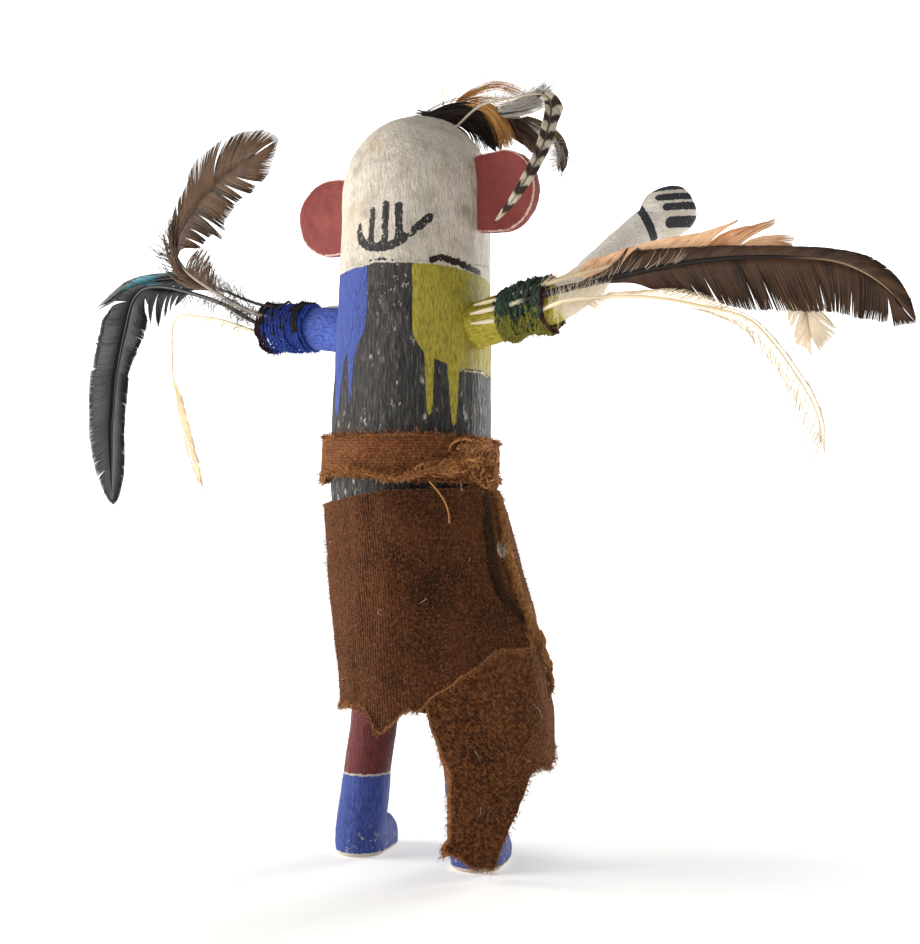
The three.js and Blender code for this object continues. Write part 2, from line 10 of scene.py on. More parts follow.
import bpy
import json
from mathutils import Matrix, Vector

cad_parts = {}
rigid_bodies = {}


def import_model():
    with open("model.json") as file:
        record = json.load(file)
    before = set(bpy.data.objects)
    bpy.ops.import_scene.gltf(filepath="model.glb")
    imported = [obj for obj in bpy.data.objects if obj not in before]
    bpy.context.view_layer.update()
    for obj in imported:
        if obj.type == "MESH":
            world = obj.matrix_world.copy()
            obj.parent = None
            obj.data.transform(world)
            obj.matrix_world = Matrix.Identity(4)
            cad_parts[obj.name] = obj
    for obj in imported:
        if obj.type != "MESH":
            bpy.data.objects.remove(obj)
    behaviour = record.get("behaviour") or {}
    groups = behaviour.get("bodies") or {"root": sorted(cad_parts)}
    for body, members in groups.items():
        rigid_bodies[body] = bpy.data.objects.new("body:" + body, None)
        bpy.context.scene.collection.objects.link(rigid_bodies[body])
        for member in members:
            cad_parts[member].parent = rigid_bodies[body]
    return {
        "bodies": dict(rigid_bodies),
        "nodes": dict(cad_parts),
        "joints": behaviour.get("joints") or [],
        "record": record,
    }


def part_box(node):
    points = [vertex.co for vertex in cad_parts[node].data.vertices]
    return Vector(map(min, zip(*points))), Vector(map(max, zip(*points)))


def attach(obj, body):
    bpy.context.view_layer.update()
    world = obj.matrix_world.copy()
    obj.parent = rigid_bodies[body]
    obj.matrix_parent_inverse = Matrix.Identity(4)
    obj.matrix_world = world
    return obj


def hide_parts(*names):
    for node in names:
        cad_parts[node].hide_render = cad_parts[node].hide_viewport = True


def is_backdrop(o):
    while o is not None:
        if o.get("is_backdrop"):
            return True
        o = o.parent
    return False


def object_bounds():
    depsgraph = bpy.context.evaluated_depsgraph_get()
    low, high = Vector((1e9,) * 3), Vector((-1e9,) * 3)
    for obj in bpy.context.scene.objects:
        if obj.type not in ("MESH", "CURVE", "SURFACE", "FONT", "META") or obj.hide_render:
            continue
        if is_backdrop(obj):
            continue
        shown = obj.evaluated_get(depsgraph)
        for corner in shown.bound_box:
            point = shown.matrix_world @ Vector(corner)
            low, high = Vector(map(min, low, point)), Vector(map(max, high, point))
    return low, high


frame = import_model()
cad_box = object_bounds()
print("solids loaded:", len(frame["nodes"]), "box in metres:", [tuple(round(v, 4) for v in c) for c in cad_box])

# %% [markdown]
# ## One set of measures
#
# The maker measures the doll in millimetres from its own axis, which leans a little forwards so that
# the doll stands by itself. The two ears are let in on either side of the head at equal depth, so
# their inner edges and the middle of the left one give the axis. All later cells give sizes and
# places in this measure, and `in_metres` carries them into the scene.

# %% The doll's own axis
import json
import math

import bpy
import numpy as np

MM = 0.001
LEFT_EAR_Z, RIGHT_EAR_Z = 229, 232
WAIST_Z = 130
LEAN = np.array([0, -0.0425])
AXIS_AT_WAIST = np.array([0.59, 0.38])
EAR_FORWARD = 0.6

left_ear, right_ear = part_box("ear_left"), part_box("ear_right")
between_ears = (left_ear[0].x + right_ear[1].x) / 2 / MM
left_ear_y = (left_ear[0].y + left_ear[1].y) / 2 / MM
AXIS_AT_LEFT_EAR = AXIS_AT_WAIST + LEAN * (LEFT_EAR_Z - WAIST_Z)
ORIGIN = np.array([between_ears - AXIS_AT_LEFT_EAR[0], left_ear_y - AXIS_AT_LEFT_EAR[1] + EAR_FORWARD, 0.0])


def in_metres(points):
    """Millimetres from the doll's axis, turned into the frame's metres."""
    return (np.asarray(points, float) + ORIGIN) * MM


def axis_at(z):
    """Where the leaning trunk's centre line is at a height."""
    step = np.asarray(z, float)[..., None] - WAIST_Z
    return AXIS_AT_WAIST + LEAN * step


def around(angle, radius, z):
    """A point round the trunk: the angle starts at the back and grows towards the doll's right."""
    turn, z = np.radians(angle), np.asarray(z, float)
    centre = axis_at(z)
    x = centre[..., 0] - radius * np.sin(turn)
    y = centre[..., 1] + radius * np.cos(turn)
    return np.stack(np.broadcast_arrays(x, y, z), -1)


print("the axis meets the ground at", in_metres([0, 0, 0]).round(4))

# %% [markdown]
# ## Meshes from arrays
#
# A Blender mesh is a list of points and a list of faces. For a sphere or a box an operator is the
# quick way, but feathers and wool need thousands of small rods, and there numpy is the better tool:
# it works out all the points at once. Two helpers are enough for the whole doll. `make_piece` turns
# arrays into an object, with named values on its points that the materials can read. `strands` makes
# many closed rods in one go: barbs, threads, yarn and down are all strands.

# %% Make a piece from arrays
def unit(vectors):
    length = np.linalg.norm(vectors, axis=-1, keepdims=True)
    return vectors / np.maximum(length, 1e-9)


def in_scene(name, data):
    thing = bpy.data.objects.new(name, data)
    bpy.context.scene.collection.objects.link(thing)
    return thing


def add_values(mesh, values):
    """Named numbers on a mesh's points, for materials to read."""
    for key, numbers in values.items():
        layer = mesh.attributes.new(key, "FLOAT", "POINT")
        layer.data.foreach_set("value", numbers.astype(np.float32))


def make_piece(name, parts, finish):
    """parts holds (points, quads, triangles, {value name: one number per point})."""
    points, quads, triangles, values, start = [], [], [], {}, 0
    for part_points, part_quads, part_triangles, part_values in parts:
        points.append(part_points)
        quads.append(np.asarray(part_quads, int).reshape(-1, 4) + start)
        triangles.append(np.asarray(part_triangles, int).reshape(-1, 3) + start)
        for key, numbers in part_values.items():
            values.setdefault(key, []).append(np.broadcast_to(numbers, len(part_points)))
        start += len(part_points)
    points, quads, triangles = np.concatenate(points), np.concatenate(quads), np.concatenate(triangles)
    corners = np.concatenate([quads.ravel(), triangles.ravel()])
    sizes = np.concatenate([np.full(len(quads), 4), np.full(len(triangles), 3)])
    mesh = bpy.data.meshes.new(name)
    mesh.vertices.add(len(points))
    mesh.vertices.foreach_set("co", in_metres(points).ravel())
    mesh.loops.add(len(corners))
    mesh.loops.foreach_set("vertex_index", corners)
    mesh.polygons.add(len(sizes))
    mesh.polygons.foreach_set("loop_start", np.concatenate([[0], np.cumsum(sizes)[:-1]]))
    mesh.polygons.foreach_set("use_smooth", np.full(len(sizes), True))
    mesh.update(calc_edges=True)
    add_values(mesh, {key: np.concatenate(numbers) for key, numbers in values.items()})
    mesh.materials.append(finish)
    piece = in_scene(name, mesh)
    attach(piece, "root")
    print(f"{name}: {len(quads) * 2 + len(triangles)} triangles")
    return piece


# %% Many rods at once
def strands(paths, radius, facing, sides=3, flat=1.0, **values):
    """Closed rods along paths (rods, points, 3). flat under 1 makes blades that lie square to facing."""
    paths = np.asarray(paths, float)
    rods, steps, _ = paths.shape
    along = unit(np.gradient(paths, axis=1))
    facing = np.asarray(facing, float)
    if facing.ndim < 3:
        facing = facing.reshape(-1, 1, 3)
    facing = np.broadcast_to(facing, paths.shape)
    across = unit(np.cross(facing, along))
    lift = np.cross(along, across)
    radius = np.broadcast_to(np.asarray(radius, float), (rods, steps))
    turn = 2 * np.pi * np.arange(sides) / sides + np.pi / 2
    ring = (across[:, :, None] * np.cos(turn)[:, None] + lift[:, :, None] * np.sin(turn)[:, None] * flat)
    points = paths[:, :, None] + ring * radius[:, :, None, None]
    index = np.arange(rods * steps * sides).reshape(rods, steps, sides)
    a, d = index[:, :-1], index[:, 1:]
    quads = np.stack([a, np.roll(a, -1, 2), np.roll(d, -1, 2), d], -1).reshape(-1, 4)
    ends = []
    for ring_ids in (index[:, 0, ::-1], index[:, -1]):
        for k in range(1, sides - 1):
            ends.append(ring_ids[:, [0, k, k + 1]])
    spread = {key: np.repeat(np.broadcast_to(v, (rods, steps)).ravel(), sides) for key, v in values.items()}
    return points.reshape(-1, 3), quads, np.concatenate(ends), spread


# %% Smooth curves and slow waves
CURVE_STEPS = 24  # between one control point and the next


def smooth_path(controls, steps):
    """Evenly spaced points on a smooth curve through the controls. Numbers after x, y and z go along."""
    p = np.asarray(controls, float)
    p = np.concatenate([[2 * p[0] - p[1]], p, [2 * p[-1] - p[-2]]])
    knots = np.concatenate([[0], np.cumsum(np.linalg.norm(np.diff(p[:, :3], axis=0), axis=1) ** 0.5)])
    fine = []
    for i in range(1, len(p) - 2):
        t0, t1, t2, t3 = knots[i - 1:i + 3]
        t = np.linspace(t1, t2, CURVE_STEPS, endpoint=False)[:, None]
        a1 = (t1 - t) / (t1 - t0) * p[i - 1] + (t - t0) / (t1 - t0) * p[i]
        a2 = (t2 - t) / (t2 - t1) * p[i] + (t - t1) / (t2 - t1) * p[i + 1]
        a3 = (t3 - t) / (t3 - t2) * p[i + 1] + (t - t2) / (t3 - t2) * p[i + 2]
        b1 = (t2 - t) / (t2 - t0) * a1 + (t - t0) / (t2 - t0) * a2
        b2 = (t3 - t) / (t3 - t1) * a2 + (t - t1) / (t3 - t1) * a3
        fine.append((t2 - t) / (t2 - t1) * b1 + (t - t1) / (t2 - t1) * b2)
    fine = np.concatenate([*fine, p[-2:-1]])
    length = np.concatenate([[0], np.cumsum(np.linalg.norm(np.diff(fine[:, :3], axis=0), axis=1))])
    at = np.linspace(0, length[-1], steps)
    return np.stack([np.interp(at, length, column) for column in fine.T], -1)


def waves(points, size, seed, octaves=3):
    """Smooth, repeatable unevenness of about plus or minus 1: sums of slanted sine waves."""
    dice = np.random.default_rng(seed)
    total, weight = np.zeros(len(points)), 0
    for octave in range(octaves):
        for _ in range(5):
            direction = unit(dice.normal(size=3)) * 2 * np.pi / size * 1.9 ** octave
            total += np.sin(points @ direction + dice.uniform(0, 2 * np.pi)) * 0.6 ** octave
        weight += 2.0 * 0.6 ** octave
    return total / weight


# %% [markdown]
# ## Materials from nodes
#
# Each finish is a small graph of shader nodes. Drawing such graphs by hand is fine for one material,
# but this doll has many finishes that share the same ideas: a ragged edge of paint, a chip that shows
# the wood, a grain. `Finish` keeps the wiring short, so that a cell reads like a recipe for paint.

# %% Mix a finish
def tint(code):
    """A colour as painters write it, #rrggbb, turned into the linear values that shaders use."""
    parts = [int(code[i:i + 2], 16) / 255 for i in (0, 2, 4)]
    return (*[v / 12.92 if v <= 0.04045 else ((v + 0.055) / 1.055) ** 2.4 for v in parts], 1.0)


class Finish:
    """A material under way: each method adds one node and returns its result."""

    def __init__(self, name, **shader_values):
        self.material = bpy.data.materials.new(name)
        self.material.use_nodes = True
        self.nodes, self.links = self.material.node_tree.nodes, self.material.node_tree.links
        self.shader = self.nodes["Principled BSDF"]
        for socket, value in shader_values.items():
            self.shader.inputs[socket.replace("_", " ")].default_value = value
        place = self.nodes.new("ShaderNodeTexCoord")
        moved = self.put("ShaderNodeVectorMath", place.outputs["Object"], tuple(-ORIGIN * MM), operation="ADD")
        self.spot = self.put("ShaderNodeVectorMath", moved, operation="SCALE", Scale=1 / MM)

    def put(self, kind, *inputs, Scale=None, **settings):
        node = self.nodes.new(kind)
        for key, value in settings.items():
            setattr(node, key, value)
        for socket, value in zip(node.inputs, inputs):
            self.wire(socket, value)
        if Scale is not None:
            self.wire(node.inputs["Scale"], Scale)
        return node.outputs[0]

    def wire(self, socket, value):
        """Links a node's result to a socket, or sets it to a number or to a colour such as "8b3a2c"."""
        if isinstance(value, str):
            value = tint(value)
        if isinstance(value, bpy.types.NodeSocket):
            self.links.new(value, socket)
        elif value is not None:
            socket.default_value = value

    def math(self, operation, *inputs):
        return self.put("ShaderNodeMath", *inputs, operation=operation)

    def value(self, name):
        node = self.nodes.new("ShaderNodeAttribute")
        node.attribute_name = name
        return node.outputs["Fac"]

    def coordinate(self, axis):
        """The place along X, Y or Z, in mm from the doll's axis."""
        return self.put("ShaderNodeSeparateXYZ", self.spot).node.outputs[axis]

    def step(self, number, low, high):
        """0 below low, 1 above high, smooth between. low may be the larger one."""
        node = self.nodes.new("ShaderNodeMapRange")
        node.interpolation_type = "SMOOTHSTEP"
        flip = low > high
        for key, v in (("Value", number), ("From Min", min(low, high)), ("From Max", max(low, high)),
                       ("To Min", 1.0 if flip else 0.0), ("To Max", 0.0 if flip else 1.0)):
            self.wire(node.inputs[key], v)
        return node.outputs["Result"]

    def noise(self, scale, detail=3.0, rough=0.5, stretch=None, spot=None):
        """Cloudy unevenness from 0 to 1. scale is its size in mm, stretch makes it longer one way."""
        spot = self.spot if spot is None else spot
        if stretch is not None:
            spot = self.put("ShaderNodeVectorMath", spot, tuple(1 / s for s in stretch), operation="MULTIPLY")
        node = self.nodes.new("ShaderNodeTexNoise")
        for key, v in (("Vector", spot), ("Scale", 1 / scale), ("Detail", detail), ("Roughness", rough)):
            self.wire(node.inputs[key], v)
        return node.outputs["Fac"]

    def mix(self, share, a, b):
        """Colour a where share is 0, b where it is 1."""
        node = self.nodes.new("ShaderNodeMix")
        node.data_type = "RGBA"
        for socket, v in ((node.inputs[0], share), (node.inputs[6], a), (node.inputs[7], b)):
            self.wire(socket, v)
        return node.outputs[2]

    def blend(self, *shares):
        """Where any of the shares is, from 0 to 1."""
        result = shares[0]
        for share in shares[1:]:
            result = self.math("MAXIMUM", result, share)
        return result

    def both(self, *shares):
        result = shares[0]
        for share in shares[1:]:
            result = self.math("MULTIPLY", result, share)
        return result

    def relief(self, *layers):
        """Bump from (height 0 to 1, depth in mm) pairs."""
        normal = None
        for height, depth in layers:
            node = self.nodes.new("ShaderNodeBump")
            node.inputs["Strength"].default_value = 1.0
            node.inputs["Distance"].default_value = depth * MM
            self.wire(node.inputs["Height"], height)
            self.wire(node.inputs["Normal"], normal)
            normal = node.outputs["Normal"]
        self.links.new(normal, self.shader.inputs["Normal"])

    def done(self, colour, roughness=None):
        self.wire(self.shader.inputs["Base Color"], colour)
        if roughness is not None:
            self.wire(self.shader.inputs["Roughness"], roughness)
        return self.material


# %% [markdown]
# ## Camera, floor and light
#
# The doll is looked at from behind its right shoulder, level with its waist, with a long lens.
# The light is that of a plain studio. One strong soft lamp stands at the left, a little above the
# doll's waist. A second one stands behind it on the right and draws a bright edge on wood and wool.
# Little light comes from the front and from above, so that the round forms keep a shadow side. The
# floor and the backdrop are marked as stage, so they aren't part of the doll.

# %% Camera
VIEW_TURN = math.radians(33)
VIEW_DISTANCE = 550
VIEW_HEIGHT = 136.5
VIEW_ASIDE = 16.8
LENS = 59.9

away = np.array([math.sin(VIEW_TURN), -math.cos(VIEW_TURN), 0])
rightwards = np.array([-math.cos(VIEW_TURN), -math.sin(VIEW_TURN), 0])

camera = in_scene("camera", bpy.data.cameras.new("camera"))
camera.data.lens = LENS
camera.data.clip_start = 0.01
camera.location = in_metres(-away * VIEW_DISTANCE + rightwards * VIEW_ASIDE + [0, 0, VIEW_HEIGHT])
camera.rotation_euler = (math.pi / 2, 0, math.pi + VIEW_TURN)
bpy.context.scene.camera = camera
bpy.context.scene.view_settings.view_transform = "Standard"
print("camera at", tuple(round(v, 3) for v in camera.location))

# %% Floor and backdrop
world = bpy.data.worlds.new("studio")
world.use_nodes = True
surroundings = world.node_tree.nodes["Background"].inputs
surroundings["Color"].default_value = (1.0, 1.0, 1.0, 1.0)
surroundings["Strength"].default_value = 0.17
bpy.context.scene.world = world


def stage_disc(name, radius, rings, finish):
    """A round sheet whose rings are (share of the radius, height in mm)."""
    turn = np.radians(np.arange(0, 360, 5))
    points = [[0, 0, rings[0][1]]]
    for share, height in rings[1:]:
        points += [[radius * share * math.cos(a), radius * share * math.sin(a), height] for a in turn]
    n = len(turn)
    faces = [(0, 1 + i, 1 + (i + 1) % n) for i in range(n)]
    for r in range(len(rings) - 2):
        inner, outer = 1 + r * n, 1 + (r + 1) * n
        faces += [(inner + i, outer + i, outer + (i + 1) % n, inner + (i + 1) % n) for i in range(n)]
    mesh = bpy.data.meshes.new(name)
    mesh.from_pydata([tuple(p) for p in in_metres(points)], [], faces)
    mesh.materials.append(finish)
    sheet = in_scene(name, mesh)
    sheet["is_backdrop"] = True
    return sheet


# The paper is lit near the doll and also glows faintly there, which lightens the shadows on it; further out it
# turns into plain white light, so no horizon shows.
STAGE_R = 3000
GLOW_FROM, GLOW_FULL_AT = 90, 420
paper = Finish("studio_paper", Roughness=0.9)
from_doll = paper.put("ShaderNodeVectorMath", paper.spot, operation="LENGTH").node.outputs["Value"]
paper.wire(paper.shader.inputs["Emission Strength"],
           paper.math("MULTIPLY_ADD", paper.step(from_doll, GLOW_FROM, GLOW_FULL_AT), 0.68, 0.32))
stage_disc("floor", STAGE_R, [(0, 0), (0.1, 0), (1, 0)], paper.done("f4f3f1"))

glow = Finish("backdrop_white", Roughness=0.9)
glow.wire(glow.shader.inputs["Emission Strength"], 1.0)
dome_rings = [(0, STAGE_R)] + [
    (math.sin(math.radians(a)), STAGE_R * math.cos(math.radians(a))) for a in range(10, 111, 10)]
backdrop = stage_disc("backdrop", STAGE_R, dome_rings, glow.done("ffffff"))
for way in ("diffuse", "glossy", "transmission", "shadow", "volume_scatter"):
    setattr(backdrop, "visible_" + way, False)


# %% Lamps
CHEST_Z = 150


def lamp(name, place, size, watts, colour=(1.0, 1.0, 1.0)):
    """A square soft lamp that faces the doll's chest. place is (rightwards, away, up) in mm."""
    light = bpy.data.lights.new(name, "AREA")
    light.size, light.energy, light.color = size * MM, watts, colour
    holder = in_scene(name, light)
    spot = rightwards * place[0] + away * place[1] + np.array([0, 0, place[2]])
    holder.location = in_metres(spot)
    aim = in_metres([0, 0, CHEST_Z]) - in_metres(spot)
    yaw, pitch = math.atan2(aim[0], -aim[1]), math.atan2(math.hypot(aim[0], aim[1]), -aim[2])
    holder.rotation_euler = (pitch, 0, yaw + math.pi)
    print(f"{name} lamp: {watts} W")


lamp("key", (-1000, 60, 330), 560, 13.5, (1.0, 0.985, 0.96))
lamp("rim", (760, 720, 260), 420, 8)
lamp("front", (-250, -1150, 520), 800, 2.3)
lamp("top", (0, 250, 1100), 900, 3)


# %% [markdown]
# ## Carved pieces
#
# The figure is one piece of root wood: a round trunk that is head and body in one, two legs and two
# boots. It could be sculpted by hand, or joined with booleans, which leave sharp seams. Here the parts
# are skinned from rings, pushed into each other and then remeshed into one skin with the Remesh
# modifier, as if carved from one block. A little smoothing and some slow waves give it the knife's
# unevenness.

# %% Skins and remeshing
def skin(rings, **values):
    """A closed skin over a stack of rings with equal numbers of points."""
    rings = np.asarray(rings, float)
    rows, count, _ = rings.shape
    index = np.arange(rows * count).reshape(rows, count)
    low, high = index[:-1], index[1:]
    quads = np.stack([low, np.roll(low, -1, 1), np.roll(high, -1, 1), high], -1).reshape(-1, 4)
    centres = np.stack([rings[0].mean(0), rings[-1].mean(0)])
    first, last = rows * count, rows * count + 1
    fans = np.concatenate([
        np.stack([np.roll(index[0], -1), index[0], np.full(count, first)], -1),
        np.stack([index[-1], np.roll(index[-1], -1), np.full(count, last)], -1),
    ])
    spread = {}
    for key, v in values.items():
        v = np.broadcast_to(v, (rows, count))
        spread[key] = np.concatenate([v.ravel(), [v[0].mean(), v[-1].mean()]])
    return np.concatenate([rings.reshape(-1, 3), centres]), quads, fans, spread


def remeshed(piece, grain, passes):
    """Fuses a piece's overlapping skins into one, with faces of about `grain` mm, and gives its points."""
    modifier = piece.modifiers.new("one block", "REMESH")
    modifier.mode, modifier.voxel_size = "VOXEL", grain * MM
    rub = piece.modifiers.new("rubbed down", "SMOOTH")
    rub.factor, rub.iterations = 0.5, passes
    whole = bpy.data.meshes.new_from_object(piece.evaluated_get(bpy.context.evaluated_depsgraph_get()))
    piece.modifiers.clear()
    piece.data = whole
    whole.polygons.foreach_set("use_smooth", np.ones(len(whole.polygons), bool))
    points, normals = np.empty(len(whole.vertices) * 3), np.empty(len(whole.vertices) * 3)
    whole.vertices.foreach_get("co", points)
    whole.vertices.foreach_get("normal", normals)
    print(f"{piece.name}: {sum(len(p.vertices) - 2 for p in whole.polygons)} triangles after remeshing")
    return points.reshape(-1, 3) / MM - ORIGIN, normals.reshape(-1, 3)


# %% Keep values on a remeshed piece
def write_points(piece, points, **values):
    """Moves a remeshed piece's points and keeps named numbers on them."""
    piece.data.vertices.foreach_set("co", in_metres(points).ravel())
    add_values(piece.data, values)
    piece.data.update()


def paint_all(piece, material):
    piece.data.materials.clear()
    piece.data.materials.append(material)


def circle(centre, radius, z, sides=64):
    turn = 2 * np.pi * np.arange(sides) / sides
    return np.stack([centre[0] + radius * np.cos(turn), centre[1] + radius * np.sin(turn),
                     np.full(sides, float(z))], -1)


# %% [markdown]
# ### The trunk, legs and boots
#
# The trunk's outline is a short table of heights and radii with a dome on top. Each leg is a plain
# round peg, and each boot grows from a sole outline of two circles, a wide heel and a narrower toe.

# %% Carve the figure
HEAD_R, SPRING_Z, CROWN_Z, TRUNK_FOOT_Z = 26, 235.2, 261.5, 102
TRUNK_PROFILE = np.array([
    [TRUNK_FOOT_Z, 19], [105, 23.5], [112, 25.6], [122, 26.6], [130, 27.8], [142, 28], [165, 27.7],
    [187, 27.1], [206, 26.5], [220, 26.2], [SPRING_Z, HEAD_R]])
HEEL_R, TOE_R, SOLE_LENGTH = 9, 7, 13
LEG_R, CROTCH_Z, BOOT_TOP_Z, ANKLE_Z = 8.4, 114, 29, 20
LEGS = [
    {"hip": (6, 1), "heel": (23, -1), "heading": 5},
    {"hip": (-6, 1), "heel": (-23.6, -5.2), "heading": 8},
]


def trunk_rings():
    heights = np.linspace(TRUNK_FOOT_Z, SPRING_Z, 60)
    rings = [circle(axis_at(z), r, z) for z, r in zip(heights, np.interp(heights, *TRUNK_PROFILE.T))]
    for lift in np.radians(np.linspace(0, 88, 18)[1:]):
        z = SPRING_Z + (CROWN_Z - SPRING_Z) * math.sin(lift)
        rings.append(circle(axis_at(z), HEAD_R * math.cos(lift), z))
    return rings


def foot_axes(leg):
    """The directions along and across a foot, on the ground."""
    heading = math.radians(leg["heading"])
    forward = np.array([math.sin(heading), -math.cos(heading)])
    return forward, np.array([-forward[1], forward[0]])


def boot_ring(leg, inset, z):
    """Heel and toe circles joined by straight sides, drawn inwards by `inset`."""
    forward, aside = foot_axes(leg)
    lean = math.asin((HEEL_R - TOE_R) / SOLE_LENGTH)
    ring = []
    for ahead, radius, start, end in ((0, HEEL_R, math.pi / 2 - lean, 1.5 * math.pi + lean),
                                      (SOLE_LENGTH, TOE_R, -math.pi / 2 + lean, math.pi / 2 - lean)):
        for turn in np.linspace(start, end, 24):
            spot = np.array(leg["heel"]) + forward * (ahead + (radius - inset) * math.cos(turn))
            ring.append([*(spot + aside * (radius - inset) * math.sin(turn)), z])
    return ring[::-1]


def leg_rings(leg):
    foot = np.array([leg["heel"][0] - 1.2 * math.copysign(1, leg["heel"][0]), leg["heel"][1] - 0.3])
    rings = []
    for z in np.linspace(8, CROTCH_Z, 40):
        share = (CROTCH_Z - z) / (CROTCH_Z - ANKLE_Z)
        centre = np.array(leg["hip"]) * (1 - share) + foot * share
        rings.append(circle(centre, LEG_R + 0.35 * (z < BOOT_TOP_Z), z))
    return rings


# %% Join its parts and cut the surface
BOOT_LAYERS = [(0.05, 0.4), (0.9, 0), (5, -0.2), (8, 0.5), (10, 1.8), (12, 3.6), (13.4, 6)]
figure = make_piece("carved_figure", [
    skin(trunk_rings()),
    *[skin(leg_rings(leg)) for leg in LEGS],
    *[skin([boot_ring(leg, inset, z) for z, inset in BOOT_LAYERS]) for leg in LEGS],
], None)
FIGURE_GRAIN = 1.14
figure_points, figure_normals = remeshed(figure, FIGURE_GRAIN, 3)

# Knife work: slow facets all over, fine furrows up the trunk, and toe grooves in the boots.
TOE_GROOVES = (-3.6, -1.2, 1.2, 3.6)
above = np.clip((figure_points[:, 2] - 4) / 10, 0, 1)
furrows = waves(figure_points * [1, 1, 0.07], 3.2, 5)
cut = 0.22 * waves(figure_points, 21, 3) + 0.09 * furrows * above
for leg in LEGS:
    forward, aside = foot_axes(leg)
    from_heel = figure_points[:, :2] - leg["heel"]
    ahead, across = from_heel @ forward, from_heel @ aside
    toes = np.clip((ahead - 11) / 4, 0, 1) * (figure_points[:, 2] < 14) * (np.abs(across) < 9)
    for groove in TOE_GROOVES:
        cut -= 0.75 * toes * np.exp(-((across - groove * (1 + 0.04 * ahead)) / 0.55) ** 2)
cut *= figure_points[:, 2] > 0.6
figure_points = figure_points + figure_normals * cut[:, None]

# %% [markdown]
# ### Where the paint goes
#
# A painter thinks of the trunk as a sheet of paper rolled into a tube. So do these cells: a place is an
# angle round the trunk and a height. Strokes and patches are drawn as lines and outlines on that sheet,
# and each point of the figure keeps its distance to them in millimetres. The material turns a distance
# into paint with a ragged edge. An image texture would do as well, but distances stay sharp at any
# size of picture and need no unwrapping.
#
# The figure's front can't be checked against anything, so its face is a plain guess: two narrow eyes
# and a small mouth.

# %% Draw the paint's places
PAPER_R = 27
LITTLE_FINGER = [(-12.7, 220.4), (-11.9, 217), (-11.2, 214.9)]
FINGERS = [[(0, 225.2), (-0.3, 214)], [(11, 226.9), (10.9, 214)], [(21.1, 226), (22.5, 214)]]
FINGER_WIDTHS = (1.1, 1.3, 1.45)
PALM = [(-12.9, 218), (-11.2, 216), (-6.8, 213.8), (-1.9, 212.8), (4, 212.4), (10.2, 212.4),
        (15.5, 212.7), (20.3, 213.5), (25.9, 215.4)]
THUMB = [(34, 218.2), (37, 219.2), (41, 220.6), (44.5, 222.2)]
THUMB_ROOT = [(29, 216), (32.5, 216.6)]
SHOULDER_LINE = [(-180, 205.5), (-35, 205.2), (-2, 206.4), (4, 207.4), (17.6, 206.8), (31, 206.7),
                 (60.3, 205.8), (111.9, 202), (150, 204.5), (180, 205.5)]
DARK_STROKES = [
    ([(47, 208.0), (55, 208.6), (66, 207.4), (78, 206.0), (90.8, 204.6)], 1.15),
    ([(55, 209.2), (70, 208.2)], 0.5),
    ([(-1.7, 207.9), (8, 208.3), (17.5, 207.6)], 0.35),
]
BLUE_PATCH = [
    (-2.7, 207), (-2.6, 204), (-1.8, 195), (-2.4, 186.2), (-5, 182), (-8.7, 179), (-12.3, 176), (-13.2, 168),
    (-14.4, 161), (-16.2, 160.4), (-17.6, 166), (-18.6, 173), (-21.3, 178), (-24.5, 174), (-28, 164),
    (-30.5, 156.5), (-33.5, 155.2), (-37, 158), (-39.5, 168), (-45, 174), (-60, 176), (-90, 174), (-120, 177),
    (-150, 176), (-151, 207)]
YELLOW_PATCH = [
    (32.2, 207.4), (32.5, 204), (33.2, 196), (33.6, 184.1), (35.5, 181), (38.1, 179.1), (42.6, 176.4),
    (43.2, 170), (44.3, 160), (45.4, 156.2), (47.2, 155.2), (48.6, 156.6), (49.1, 161), (49.4, 169),
    (49.9, 174.9), (54, 173.8), (59.2, 172.8), (60.2, 168), (62, 159), (63.6, 153), (65.7, 151.5),
    (67.7, 153.5), (68.7, 160), (69.6, 171.6), (80, 171.4), (94, 171.3), (105, 169.8), (120, 169.3),
    (135, 172), (148, 175), (149, 207.5)]
EYES = [[(-27, 229.5), (-13, 229.5)], [(13, 229.5), (27, 229.5)]]
MOUTH = [(-4, 218.5), (4, 218.5)]
BARE_LINE = [(69.5, 171), (80, 170.8), (94, 170.6), (104, 169.4)]


# %% Measure distances on the sheet
def on_paper(spots):
    spots = np.asarray(spots, float)
    return np.stack([np.radians(spots[..., 0]) * PAPER_R, spots[..., 1]], -1)


def edge_distance(places, corners):
    """The distance in mm from each place to a broken line through the corners."""
    nearest = np.full(len(places), 1e3)
    for start, end in zip(corners[:-1], corners[1:]):
        along = end - start
        share = np.clip((places - start) @ along / (along @ along), 0, 1)
        nearest = np.minimum(nearest, np.linalg.norm(places - start - share[:, None] * along, axis=1))
    return nearest


def stroke(places, spots, half_width):
    return edge_distance(places, on_paper(spots)) - half_width


def patch(places, spots):
    """As edge_distance for a closed outline, but below zero inside it."""
    corners = on_paper([*spots, spots[0]])
    inside = np.zeros(len(places), bool)
    for (x0, y0), (x1, y1) in zip(corners[:-1], corners[1:]):
        if y0 != y1:
            crosses = (y0 > places[:, 1]) != (y1 > places[:, 1])
            inside ^= crosses & (places[:, 0] < (x1 - x0) * (places[:, 1] - y0) / (y1 - y0) + x0)
    return np.where(inside, -1, 1) * edge_distance(places, corners)


